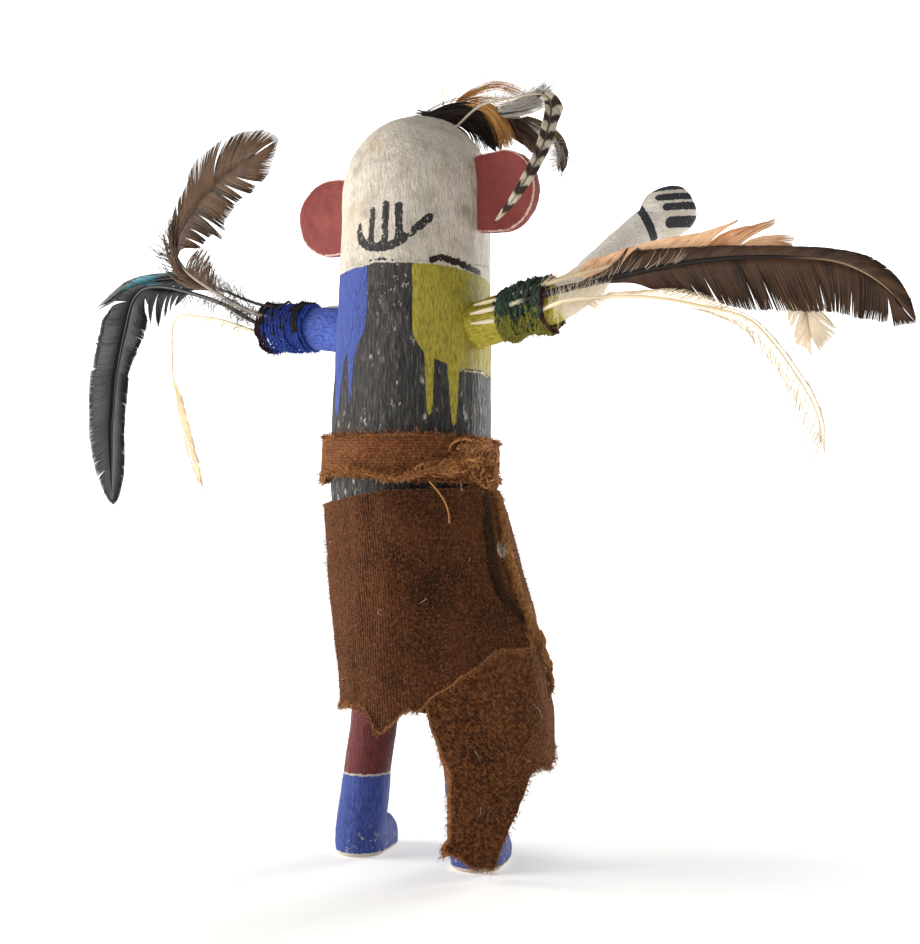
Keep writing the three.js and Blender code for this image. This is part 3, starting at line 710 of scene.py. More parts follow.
# %% Keep each point's distance to the paint
from_axis = figure_points[:, :2] - axis_at(figure_points[:, 2])
turned = np.degrees(np.arctan2(-from_axis[:, 0], from_axis[:, 1]))
places = on_paper(np.stack([turned, figure_points[:, 2]], -1))
front = on_paper(np.stack([(turned % 360) - 180, figure_points[:, 2]], -1))
hand = np.minimum.reduce([
    stroke(places, LITTLE_FINGER, 0.95), *[stroke(places, f, w) for f, w in zip(FINGERS, FINGER_WIDTHS)],
    stroke(places, PALM, 1.5), stroke(places, THUMB, 1.45), stroke(places, THUMB_ROOT, 0.8)])
face = np.minimum.reduce([stroke(front, e, 1.2) for e in EYES] + [stroke(front, MOUTH, 1.4)])
dark = np.minimum.reduce([stroke(places, spots, width) for spots, width in DARK_STROKES])
shoulder = np.interp(turned, *np.array(SHOULDER_LINE).T) - figure_points[:, 2]
write_points(figure, figure_points, handprint=np.minimum(hand, face), dark_stroke=dark, head=shoulder,
             bare_line=stroke(places, BARE_LINE, 0.45), blue_patch=patch(places, BLUE_PATCH),
             yellow_patch=patch(places, YELLOW_PATCH))
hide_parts("body")
print("painted places:", ", ".join(layer.name for layer in figure.data.attributes if layer.domain == "POINT"))

# %% [markdown]
# ### Mineral paint
#
# The paints are matt earth and mineral colours on a white clay ground, put on in thin coats with a
# stiff brush. Each coat has three ingredients: a colour that varies along the brush's way, a ragged
# edge, and chips where the ground or the bare wood shows. Fine furrows of the brush and the grain of
# the wood are bump, because they are finer than the mesh.

# %% Three ingredients
def ragged(finish, name, amount, size):
    """A distance with noise added, so that the edge of a stroke wanders by up to half of `amount` mm."""
    wander = finish.math("MULTIPLY", finish.math("SUBTRACT", finish.noise(size, 4.0, 0.6), 0.5), amount)
    return finish.math("ADD", finish.value(name), wander)


def coat(finish, name, amount=1.2, size=1.6, soft=0.12):
    return finish.step(ragged(finish, name, amount, size), soft, -soft)


def streaked(finish, dark_colour, light_colour, streaks, low=0.35, high=0.65):
    return finish.mix(finish.step(streaks, low, high), dark_colour, light_colour)


# %% Mix the figure's colours
paint = Finish("mineral_paint", Roughness=0.82, Specular_IOR_Level=0.25)
height = paint.coordinate("Z")
grain = paint.noise(0.75, 4.0, 0.65, stretch=(1, 1, 9))
broad = paint.noise(7, 3.0, 0.55)
brush = paint.noise(0.55, 3.0, 0.6, stretch=(1, 1, 5))
speck = paint.noise(0.9, 3.0, 0.7)
cloud = paint.noise(16, 2.0, 0.5)

clay = streaked(paint, "bdb0a0", "e2d8c8", brush, 0.25, 0.62)
clay = paint.mix(paint.step(cloud, 0.55, 0.8), clay, "d3c0a4")
clay = paint.mix(paint.math("MULTIPLY", paint.step(broad, 0.45, 0.75), 0.6), clay, "978a7a")
clay = paint.mix(paint.both(paint.step(speck, 0.7, 0.78), paint.step(grain, 0.5, 0.6)), clay, "6e6256")
black = streaked(paint, "242322", "54504c", grain, 0.35, 0.75)
rubbed = paint.both(paint.step(grain, 0.55, 0.72), paint.step(broad, 0.45, 0.62))
black = paint.mix(rubbed, black, "7c756c")
worn = paint.both(paint.step(paint.noise(2.6, 5.0, 0.65, stretch=(1, 1, 2.2)), 0.6, 0.66),
                  paint.step(cloud, 0.47, 0.56))
flaked = paint.both(paint.step(paint.noise(2.0, 5.0, 0.7, stretch=(1, 1, 1.6)), 0.6, 0.64),
                    paint.step(height, 184, 197))
black = paint.mix(paint.blend(worn, flaked), black, "b9b2a8")

blue = streaked(paint, "2d3c84", "4c60ab", brush)
yellow = streaked(paint, "857a28", "b7a83f", brush, 0.3, 0.6)
yellow = paint.mix(paint.step(broad, 0.55, 0.75), yellow, "8f822c")
maroon = streaked(paint, "5a2526", "7c3937", brush)
maroon = paint.mix(paint.step(paint.noise(1.8, 4.0, 0.7), 0.66, 0.7), maroon, "b79d92")

# %% Paint the figure
in_blue = coat(paint, "blue_patch", 2.4, 2.4)
in_yellow = coat(paint, "yellow_patch", 1.1, 1.6)
in_head = coat(paint, "head", 1.6, 1.4)
holes = paint.step(paint.noise(1.3, 4.0, 0.7), 0.6, 0.66)
in_hand = paint.both(coat(paint, "handprint", 1.7, 1.3), paint.math("SUBTRACT", 1.0, holes))
in_dark = coat(paint, "dark_stroke", 3.0, 1.5)

colour = paint.mix(in_blue, black, blue)
colour = paint.mix(in_yellow, colour, yellow)
colour = paint.mix(coat(paint, "bare_line", 1.4, 1.2), colour, "c4b78c")
colour = paint.mix(in_head, colour, clay)
colour = paint.mix(in_hand, colour, streaked(paint, "232120", "3e3a38", brush))
colour = paint.mix(in_dark, colour, "2a1c18")

# Below the kilt: bare wood, maroon legs, a thin white line and blue boots with a worn sole edge.
WAIST_PAINT_Z, LINE_Z, SOLE_Z = 108, 29.3, 1.5
wander = paint.math("MULTIPLY", paint.math("SUBTRACT", paint.noise(1.5, 4.0, 0.6), 0.5), 1.6)
level = paint.math("ADD", height, wander)
colour = paint.mix(paint.step(level, WAIST_PAINT_Z + 0.5, WAIST_PAINT_Z), colour, maroon)
colour = paint.mix(paint.step(level, LINE_Z + 0.7, LINE_Z + 0.4), colour, "c9bdb2")
chips = paint.both(paint.step(paint.noise(2.2, 4.0, 0.7), 0.62, 0.66), paint.step(height, 16, 2))
boot_blue = paint.mix(paint.step(speck, 0.68, 0.74), blue, "8a93c4")
colour = paint.mix(paint.step(level, LINE_Z, LINE_Z - 0.3), colour, boot_blue)
colour = paint.mix(paint.blend(chips, paint.step(level, SOLE_Z + 0.3, SOLE_Z)), colour, "e0d4bf")

coats = paint.math("ADD", in_yellow, paint.math("ADD", in_blue, in_head))
furrow = paint.noise(1.5, 5.0, 0.7, stretch=(1, 1, 2.6))
paint.relief((grain, 0.3), (brush, 0.35), (furrow, 1.6), (coats, 0.3))
paint_all(figure, paint.done(colour, paint.step(brush, -0.2, 1.1)))
print("the paint has", len(paint.nodes), "nodes")

# %% [markdown]
# ## Ears
#
# The ears are D-shaped boards set into the sides of the head. A board can be extruded and bevelled, but
# the remeshed skin of the figure is just as quick and lets the edges be rubbed and nicked unevenly.
# Paint wears first where two faces meet, so each point keeps its distance to the nearest sharp edge.

# %% Cut the ears
EAR_HEIGHT, EAR_THICK = 28, 4.4
LEFT_EAR_REACH, RIGHT_EAR_REACH = 26, 22.8
EAR_GRAIN = 0.6
HALF_EAR = EAR_HEIGHT / 2
bend = np.radians(np.linspace(-90, 90, 48))

ear_paint = Finish("ear_paint", Roughness=0.75, Specular_IOR_Level=0.3)
mottle = ear_paint.noise(4, 4.0, 0.6)
red = ear_paint.mix(mottle, "6b2c29", "944740")
red = ear_paint.mix(ear_paint.step(ear_paint.noise(1.1, 4.0, 0.7), 0.68, 0.73), red, "5a2022")
worn_edge = ear_paint.step(ragged(ear_paint, "edge", 1.3, 1.6), 0.2, -0.15)
red = ear_paint.mix(worn_edge, red, "d9b3a4")
ear_paint.relief((ear_paint.noise(0.7, 4.0, 0.65), 0.12), (mottle, 0.3))
ear_red = ear_paint.done(red)

for name, side, ear_z, reach in (("left", 1, LEFT_EAR_Z, LEFT_EAR_REACH),
                                 ("right", -1, RIGHT_EAR_Z, RIGHT_EAR_REACH)):
    ear_outline = np.concatenate([
        [[-1.2, -HALF_EAR * 0.94]],
        np.stack([reach * (0.42 + 0.58 * np.cos(bend)), HALF_EAR * np.sin(bend)], -1),
        [[-1.2, HALF_EAR * 0.94]],
    ])
    foot = axis_at(ear_z)
    layers = []
    for depth in np.linspace(-EAR_THICK / 2, EAR_THICK / 2, 8):
        x = foot[0] + side * (HEAD_R + ear_outline[:, 0])
        y = np.full(len(x), foot[1] - EAR_FORWARD + depth)
        layers.append(np.stack([x, y, ear_z + ear_outline[:, 1]], -1))
    ear = make_piece(f"{name}_ear", [skin(layers)], ear_red)
    ear_points, ear_normals = remeshed(ear, EAR_GRAIN, 3)
    flat = np.stack([side * (ear_points[:, 0] - foot[0]) - HEAD_R, ear_points[:, 2] - ear_z], -1)
    from_rim = edge_distance(flat, ear_outline)
    from_face = EAR_THICK / 2 - np.abs(ear_points[:, 1] - foot[1] + EAR_FORWARD)
    ear_points += ear_normals * (0.16 * waves(ear_points, 9, 11))[:, None]
    write_points(ear, ear_points, edge=np.hypot(from_rim, from_face) - 0.55)
    paint_all(ear, ear_red)
    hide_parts(f"ear_{name}")

# %% [markdown]
# ## Arms
#
# Each arm is a bent round peg that ends in a mitten. The right one is raised: yellow above the elbow,
# clay white below, with a dark band at the wrist and four dark bars for the fingers. The left one is
# blue above the elbow. Its forearm points forwards, away from view, and is taken to be painted like
# the right one.
#
# Arms and the feathers tied to them are measured from the trunk's axis at shoulder height.

# %% Carve the arms
SHOULDER_Z = 187


def from_axis_at(height, points):
    points = np.array(points, float)
    points[:, :2] += axis_at(height)
    return points


# Each row is a point of the centre line and the radius there.
LEFT_ARM = [[25.1, 0.3, 186.8, 8.3], [44.5, 0.3, 189.3, 7.7], [60.5, 0.3, 191, 6.8], [66.8, -5.7, 191.8, 6.3],
            [65.5, -19.7, 192, 5.8], [63.5, -28.7, 192.4, 5.6], [62.6, -36, 192.9, 5.3]]
RIGHT_ARM = [[-25.6, 0.3, 186.2, 7.9], [-43.5, 0.3, 190.3, 7.7], [-55.5, -0.7, 193, 7.2], [-62, -5.2, 197, 6.5],
             [-70.5, -16.2, 209.5, 6], [-77.5, -24.7, 219, 5.8], [-81, -29, 222.6, 5.4]]
LEFT_HAND = {"centre": (62.5, -36.7, 193), "along": (-0.1, -1, 0.1)}
RIGHT_HAND = {"centre": (-83, -31.7, 224.5), "along": (-0.55, -0.7, 0.45)}
HAND_LENGTH, HAND_WIDTH, HAND_THICK = 19, 17.5, 12.5


def tube(path, radii, sides=40):
    along = unit(np.gradient(path, axis=0))
    aside = unit(np.cross([0, 0, 1], along))
    lift = np.cross(along, aside)
    turn = 2 * np.pi * np.arange(sides) / sides
    ring = aside[:, None] * np.cos(turn)[:, None] + lift[:, None] * np.sin(turn)[:, None]
    return path[:, None] + ring * np.asarray(radii)[:, None, None]


def mitten(centre, along):
    """A block with well rounded corners, longest along the arm and thin from side to side."""
    along = unit(np.array(along, float))
    thin = unit(np.cross(along, [0, 0, 1]))
    wide = np.cross(thin, along)
    rings = []
    for step in np.sin(np.radians(np.linspace(-86, 86, 26))):
        size = (1 - abs(step) ** 2.6) ** (1 / 2.6)
        turn = np.linspace(0, 2 * np.pi, 48, endpoint=False)
        c, s = np.cos(turn), np.sin(turn)
        across = np.sign(c) * np.abs(c) ** 0.8 * size * HAND_THICK / 2
        up = np.sign(s) * np.abs(s) ** 0.8 * size * HAND_WIDTH / 2
        rings.append(centre + along * step * HAND_LENGTH / 2 + thin * across[:, None] + wide * up[:, None])
    return rings


# %% Bars and bands
# The dark bars and the wrist band run on the side of the hand that is seen, so they are laid out on
# an upright sheet that faces the viewer: (rightwards, up) in mm.
BAR_SLOPE, BAND_HALF = 0.12, 1.5
RIGHT_BARS = [(233.0, 82.5, 1.25), (229.3, 83.5, 1.2), (225.9, 86, 1.3), (220.6, 87.5, 1.9)]
WRIST_BAND = [(76.4, 227.2), (78.9, 221.4), (82.6, 213.6)]
LEFT_BAR_HEIGHTS = (199, 195.4, 191.8, 187.6)
ELBOW_REACH = {"left": 37, "right": 33}


def paint_places(side, points, path):
    """Where an arm's colours go: bars and band as distances, reach as mm along the arm."""
    nearest = np.argmin(np.linalg.norm(points[:, None, :] - path[None, ::2, :], axis=2), axis=1) * 2
    length = np.concatenate([[0], np.cumsum(np.linalg.norm(np.diff(path, axis=0), axis=1))])
    step = unit(np.gradient(path, axis=0))[nearest]
    reach = length[nearest] + np.einsum("ij,ij->i", points - path[nearest], step)
    if side == "right":
        aside = points @ rightwards
        up = points[:, 2] - BAR_SLOPE * (aside - 90)
        bars = [np.hypot(np.maximum(start - aside, 0), up - level) - half for level, start, half in RIGHT_BARS]
        band = edge_distance(np.stack([aside, points[:, 2]], -1), np.array(WRIST_BAND)) - BAND_HALF
    else:
        end = length[-1]
        bars = [np.hypot(np.maximum(end - 2 - reach, 0), points[:, 2] - level) - 1
                for level in LEFT_BAR_HEIGHTS]
        band = np.abs(reach - end + 7) - BAND_HALF
    return np.minimum.reduce(bars), band, reach - ELBOW_REACH[side]


# %% The arms' paint
def arm_finish(name, upper):
    coat_of = Finish(name, Roughness=0.8, Specular_IOR_Level=0.25)
    brush = coat_of.noise(0.6, 3.0, 0.6, stretch=(3, 1, 1))
    speck = coat_of.noise(0.9, 4.0, 0.7)
    cloud = coat_of.noise(9, 3.0, 0.5)
    clay = coat_of.mix(coat_of.step(brush, 0.2, 0.6), "b3aba0", "e6e0d5")
    clay = coat_of.mix(coat_of.math("MULTIPLY", coat_of.step(cloud, 0.45, 0.7), 0.5), clay, "cfc3a8")
    top = coat_of.mix(coat_of.step(brush, 0.3, 0.65), upper[0], upper[1])
    top = coat_of.mix(coat_of.step(speck, 0.7, 0.76), top, upper[2])
    colour = coat_of.mix(coat_of.step(ragged(coat_of, "reach", 5, 4), -0.4, 0.4), top, clay)
    dark = coat_of.mix(speck, "1f2023", "4a4b50")
    thin = coat_of.step(coat_of.noise(1.2, 4.0, 0.7), 0.72, 0.66)
    for mark in ("bars", "band"):
        inked = coat_of.both(coat_of.step(ragged(coat_of, mark, 0.9, 0.9), 0.12, -0.12), thin)
        colour = coat_of.mix(inked, colour, dark)
    coat_of.relief((brush, 0.25), (speck, 0.1))
    return coat_of.done(colour)


# %% Make and paint both arms
ARM_GRAIN = 0.66
arm_paths = {}
for side, rows, hand_spec, slot, upper in (
        ("left", LEFT_ARM, LEFT_HAND, "blue_paint", ("2d3c84", "4c60ab", "9aa4cf")),
        ("right", RIGHT_ARM, RIGHT_HAND, "yellow_paint", ("857a28", "b7a83f", "6d6420"))):
    rows = smooth_path(from_axis_at(SHOULDER_Z, rows), 90)
    path, radii = rows[:, :3], rows[:, 3]
    arm_paths[side] = path
    centre = from_axis_at(SHOULDER_Z, [hand_spec["centre"]])[0]
    arm = make_piece(f"{side}_arm", [skin(tube(path, radii)), skin(mitten(centre, hand_spec["along"]))],
                     None)
    arm_points, arm_normals = remeshed(arm, ARM_GRAIN, 3)
    arm_points += arm_normals * (0.2 * waves(arm_points, 11, 21) + 0.07 * waves(arm_points, 3, 22))[:, None]
    bars, band, reach = paint_places(side, arm_points, path)
    write_points(arm, arm_points, bars=bars, band=band, reach=reach)
    paint_all(arm, arm_finish(f"{side}_arm_paint", upper))
    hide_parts(f"arm_{side}")


# %% [markdown]
# ## Feathers
#
# A feather is a shaft with two vanes, and a vane is a row of fine barbs that hook into each other. A
# flat leaf with a picture on it would do from afar. Here every barb is a small flat rod of its own, so
# the vanes split, fray and let light through as real ones do, from any side.
#
# `vane` sets barbs along one side of a shaft. Its edge is a short table: how far along the shaft, and
# how wide. Where barbs unhook, their tips gather into bunches with a gap between. `wisps` sets loose
# barbs and down, which have no hooks and curl as they like.

# %% The shaft
BACK = (0, 1, 0)


class Shaft:
    """The curve of a feather's shaft, with its own directions: along, aside and facing."""

    def __init__(self, controls, facing=BACK, held=SHOULDER_Z):
        self.points = smooth_path(from_axis_at(held, controls), 240)
        self.length = np.linalg.norm(np.diff(self.points, axis=0), axis=1).sum()
        self.along = unit(np.gradient(self.points, axis=0))
        self.aside = unit(np.cross(unit(np.array(facing, float)), self.along))
        self.facing = np.cross(self.along, self.aside)

    def at(self, share):
        """Place, along, aside and facing at shares of the length. Past the end it goes straight on."""
        share = np.atleast_1d(np.asarray(share, float))
        index = np.clip(share, 0, 1) * (len(self.points) - 1)

        def read(rows):
            return np.stack([np.interp(index, np.arange(len(rows)), column) for column in rows.T], -1)

        along = unit(read(self.along))
        place = read(self.points) + along * (np.maximum(share - 1, 0) * self.length)[:, None]
        return place, along, unit(read(self.aside)), unit(read(self.facing))


def quill(shaft, table, start=0.0, end=1.0, steps=150):
    """The shaft itself: table holds (share, radius) pairs."""
    share = np.linspace(start, end, steps)
    place, _, _, facing = shaft.at(share)
    radius = np.interp(share, *np.array(table).T)
    return strands(place[None], radius[None], facing[None], sides=8, flat=0.85, part=0.0,
                   along=share[None], out=0.0, tone=0.5)


# %% One vane
BARB_STEPS = 6


def groups_mean(numbers, group):
    """Each number's mean over its group."""
    means = [numbers[group == g].mean() if (group == g).any() else 0 for g in range(group.max() + 1)]
    return np.array(means)[group]


def vane(shaft, side, roots, edge, seed, pitch=0.36, bunch=2.4, gather=0.25, gaps=(), cup=0.05, width=0.25,
         loose=0.0):
    """Barbs on one side (1 or -1). roots is (first, last) share; edge is (share, mm) pairs at the tips."""
    dice = np.random.default_rng(seed)
    edge = np.array(edge, float)
    count = int((roots[1] - roots[0]) * shaft.length / pitch)
    order = np.linspace(0, 1, count)
    root = roots[0] + (roots[1] - roots[0]) * order
    round_edge = np.cumsum(np.hypot(np.diff(edge[:, 0], prepend=edge[0, 0]) * shaft.length,
                                    0.7 * np.diff(edge[:, 1], prepend=edge[0, 1])))
    tip = np.interp(order * round_edge[-1], round_edge, edge[:, 0])
    reach = np.interp(order * round_edge[-1], round_edge, edge[:, 1])
    # bunches of barbs that cling together, and gaps between them
    bounds = np.cumsum(np.abs(dice.normal(bunch, bunch * 0.45, count)) + 0.5) / shaft.length + edge[0, 0]
    group = np.searchsorted(bounds, tip)
    middle = groups_mean(tip, group)
    pull = (gather * 2.4 * dice.uniform(0, 1, group.max() + 1) ** 4)[group]
    tip = tip + (middle - tip) * pull
    for place, opening in gaps:
        gap = tip - place
        tip = tip + np.sign(gap) * opening / shaft.length * np.exp(-np.abs(gap) * shaft.length / 3.2)
    lift = dice.normal(0, 0.05, group.max() + 1)[group] + dice.normal(0, 0.012 + 0.08 * loose, count)
    reach = reach * (1 + dice.normal(0, 0.012 + 0.12 * loose, count))
    start, along, aside, facing = shaft.at(root)
    end, _, end_aside, end_facing = shaft.at(tip)
    end = end + end_aside * (side * reach)[:, None] + end_facing * (reach * lift)[:, None]
    span = np.linalg.norm(end - start, axis=1, keepdims=True)
    last = order[:, None] ** 8  # the last barbs run straight on past the end of the shaft
    bow = start + (aside * side * (0.72 - 0.6 * last) + along * (0.45 + 0.45 * last)) * span * 0.5
    s = np.linspace(0, 1, BARB_STEPS)[None, :, None]
    paths = (1 - s) ** 2 * start[:, None] + 2 * s * (1 - s) * bow[:, None] + s ** 2 * end[:, None]
    paths += facing[:, None] * (cup * span[:, None] * 4 * s * (1 - s))
    paths += end_facing[:, None] * (loose * dice.normal(0, 0.06, (count, 1, 1)) * span[:, None] * s ** 2)
    taper = width * (1 - 0.45 * s[..., 0] ** 6)
    tilt = unit(facing + aside * (side * dice.normal(0, 0.16, group.max() + 1)[group])[:, None])
    tone = np.clip(dice.uniform(0.3, 0.7, group.max() + 1)[group] + dice.normal(0, 0.12, count), 0, 1)
    return strands(paths, taper, tilt[:, None].repeat(BARB_STEPS, 1), flat=0.3, part=1.0, along=root[:, None],
                   out=s[..., 0], tone=tone[:, None])


# %% Loose barbs and down
def wisps(shaft, roots, count, length, lean, spread, curl, seed, width=0.07, steps=7, deep=0.35, part=2.0):
    """Loose barbs. lean is their angle from the shaft in degrees, + to its aside; curl bends them."""
    dice = np.random.default_rng(seed)
    root = dice.uniform(*roots, count)
    start, along, aside, facing = shaft.at(root)
    angle = np.radians(lean + dice.normal(0, spread, count))
    bend = np.radians(curl * dice.normal(1, 0.6, count)) / (steps - 1)
    size = length * dice.uniform(0.55, 1.15, count) / (steps - 1)
    rise = dice.normal(0, deep, count)
    paths = [start]
    for _ in range(steps - 1):
        heading = along * np.cos(angle)[:, None] + aside * np.sin(angle)[:, None] + facing * rise[:, None]
        paths.append(paths[-1] + unit(heading) * size[:, None])
        angle, rise = angle + bend, rise * 0.9 + dice.normal(0, 0.05, count)
    paths = np.stack(paths, 1)
    taper = width * (1 - 0.6 * np.linspace(0, 1, steps) ** 2)
    return strands(paths, taper, facing[:, None].repeat(steps, 1), flat=0.8, part=part, along=root[:, None],
                   out=np.linspace(0, 1, steps), tone=dice.uniform(0, 1, count)[:, None])


# %% Bunches of long soft barbs
def hank(shaft, count, spread, seed, span=(0, 1), width=0.12, part=1.0, steps=12, wander=0.4):
    """Long soft barbs that follow the shaft side by side and fan out towards its end."""
    dice = np.random.default_rng(seed)
    first = span[0] + (span[1] - span[0]) * 0.3 * dice.uniform(0, 1, (count, 1)) ** 2
    last = span[0] + (span[1] - span[0]) * dice.uniform(0.55, 1, (count, 1)) ** 0.6
    s = np.linspace(0, 1, steps)[None]
    share = first + (last - first) * s
    place, _, aside, facing = (row.reshape(count, steps, 3) for row in shaft.at(share.ravel()))
    fan = 0.3 + 0.7 * share
    wave = wander * np.sin(s * dice.uniform(2, 6, (count, 1)) + dice.uniform(0, 6, (count, 1))) * s
    out = dice.normal(0, spread, (count, 1)) * fan + wave
    rise = dice.normal(0, spread * 0.45, (count, 1)) * fan
    paths = place + aside * out[..., None] + facing * rise[..., None]
    return strands(paths, width * (1 - 0.6 * s ** 2), facing, flat=0.7, part=part, along=share, out=s,
                   tone=dice.uniform(0, 1, (count, 1)))


# %% [markdown]
# ### What feathers are coloured with
#
# One recipe serves all of them: a shaft that changes colour along its length, and barbs between a dark
# and a light tone. Each bunch of barbs differs a little, which gives the long slanting streaks that
# make a vane read as a vane.

# %% Dye the feathers
def plume_finish(name, shaft_colours, dark, light, down, shaft_change=(0.3, 0.5), bars=None, gloss=0.5,
                 far=None):
    plume = Finish(name, Roughness=gloss, Specular_IOR_Level=0.18)
    along, out, tone = plume.value("along"), plume.value("out"), plume.value("tone")
    part = plume.value("part")
    streak = plume.math("MULTIPLY_ADD", tone, 0.6, plume.math("MULTIPLY", plume.noise(5, 3), 0.5))
    vane_colour = plume.mix(plume.step(streak, 0.3, 0.75), dark, light)
    if far is not None:
        colour_far, start, end = far
        vane_colour = plume.mix(plume.step(along, start, end), vane_colour, colour_far)
    if bars is not None:
        bar_colour, per_length, slant, softness = bars
        phase = plume.math("MULTIPLY_ADD", along, per_length, plume.math("MULTIPLY", out, slant))
        phase = plume.math("MULTIPLY_ADD", plume.noise(2.0, 2), 0.35, phase)
        wave = plume.math("SINE", plume.math("MULTIPLY", phase, 2 * math.pi))
        vane_colour = plume.mix(plume.step(wave, -softness, softness), vane_colour, bar_colour)
    shaft_colour = plume.mix(plume.step(along, *shaft_change), shaft_colours[0], shaft_colours[1])
    if len(shaft_colours) > 2:
        shaft_colour = plume.mix(plume.step(along, 0.72, 0.9), shaft_colour, shaft_colours[2])
    colour = plume.mix(plume.step(part, 0.4, 0.6), shaft_colour, vane_colour)
    colour = plume.mix(plume.step(part, 1.4, 1.6), colour, plume.mix(tone, down[0], down[1]))
    colour = plume.mix(plume.step(part, 2.4, 2.6), colour, "171310")
    return plume.done(colour)


# %% [markdown]
# ### The right arm's feathers
#
# Three feathers are bound to the right arm. The longest is a flight feather with one narrow and one
# broad vane. A tan one lies behind it, and a nearly stripped cream one hangs below.

# %% The long flight feather
long_shaft = Shaft([
    [-29.5, 9.5, 189.6], [-45.5, 9.5, 191.9], [-61.5, 9.9, 195], [-79.5, 9.5, 197.6], [-97.5, 9.3, 200],
    [-116.5, 9.3, 201.4], [-139.5, 9.3, 200.6], [-158.5, 8.8, 197.4], [-170.5, 8.3, 190], [-175.5, 8.3, 184],
])
long_feather = make_piece("long_flight_feather", [
    quill(long_shaft, [(0, 0.35), (0.03, 0.8), (0.1, 0.95), (0.2, 1.3), (0.4, 1.05), (0.6, 0.8), (0.8, 0.45),
                       (1, 0.16)]),
    vane(long_shaft, 1, (0.285, 0.99), [
        (0.34, 1.2), (0.375, 4), (0.404, 8.6), (0.425, 6.6), (0.454, 6.2), (0.546, 4.6), (0.659, 3.4),
        (0.767, 3.2), (0.835, 3.4), (0.867, 4), (0.9, 4.7), (0.935, 4.6), (0.965, 4), (1, 3.2),
        (1.035, 0.9), (1.04, 0.1)], 1, pitch=0.3, gaps=[(0.412, 1.6), (0.56, 0.5)], gather=0.08),
    vane(long_shaft, -1, (0.34, 0.985), [
        (0.385, 1.2), (0.42, 3.6), (0.444, 6.2), (0.521, 9.3), (0.571, 11.9), (0.619, 14.5), (0.672, 16.1),
        (0.734, 15.8), (0.82, 15.5), (0.91, 13.3), (0.97, 11), (1.005, 7), (1.023, 3.4), (1.035, 1.4),
        (1.04, 0.1)], 2, pitch=0.3, gaps=[(0.595, 0.5), (0.93, 0.5), (1.012, 1.2)], bunch=3.2, gather=0.07),
    wisps(long_shaft, (0.27, 0.36), 70, 8, -150, 25, 30, 3),
    wisps(long_shaft, (0.26, 0.5), 60, 9, 22, 10, 25, 4),
], plume_finish("long_flight_colours", ("d9cbb0", "1b1614", "8d7760"), "24180f", "4a3321",
                ("bfa68a", "e8dcc8"), shaft_change=(0.11, 0.15), gloss=0.45))
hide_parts("feather_right_long")

# %% The tan feather
tan_shaft = Shaft([
    [-30.5, 8.6, 192.6], [-43.5, 8.5, 194.6], [-57.5, 7.3, 198], [-76.5, 5.3, 202], [-96.5, 4.3, 204.5],
    [-116.5, 3.8, 204.4], [-133.5, 3.3, 199.6], [-143.5, 3.3, 189], [-146.5, 3.3, 177],
])
tan_feather = make_piece("tan_feather", [
    quill(tan_shaft, [(0, 0.3), (0.03, 0.7), (0.2, 0.75), (0.6, 0.4), (1, 0.12)]),
    vane(tan_shaft, 1, (0.3, 0.985), [
        (0.42, 1.5), (0.479, 3.3), (0.529, 4.8), (0.6, 5.6), (0.644, 6.2), (0.684, 8.6), (0.722, 10.4),
        (0.738, 9.6), (0.779, 12.9), (0.80, 8.6), (0.85, 4.8), (0.9, 4.2), (0.96, 6.6), (0.995, 8.2),
        (1.04, 2)], 5,
         pitch=0.33, gaps=[(0.728, 3.4), (0.79, 2.6), (0.93, 1.5), (0.97, 1.8)], bunch=3.5, gather=0.35),
    vane(tan_shaft, -1, (0.3, 0.985), [
        (0.4, 1), (0.5, 3), (0.75, 4), (0.88, 5.5), (0.95, 6.4), (1, 5), (1.04, 1)], 6, pitch=0.36,
         gaps=[(0.93, 1.6), (0.98, 1.4)], bunch=3, gather=0.45),
    wisps(tan_shaft, (0.19, 0.42), 150, 9, 18, 12, 12, 7),
    wisps(tan_shaft, (0.9, 1), 60, 8, -15, 18, -25, 8),
], plume_finish("tan_colours", ("d8c6a4", "c9a67c"), "b5774a", "ecc29a", ("d8b48c", "f0e2cc"),
                far=("e9d9c0", 0.8, 0.9), gloss=0.6))
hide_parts("feather_right_tan")

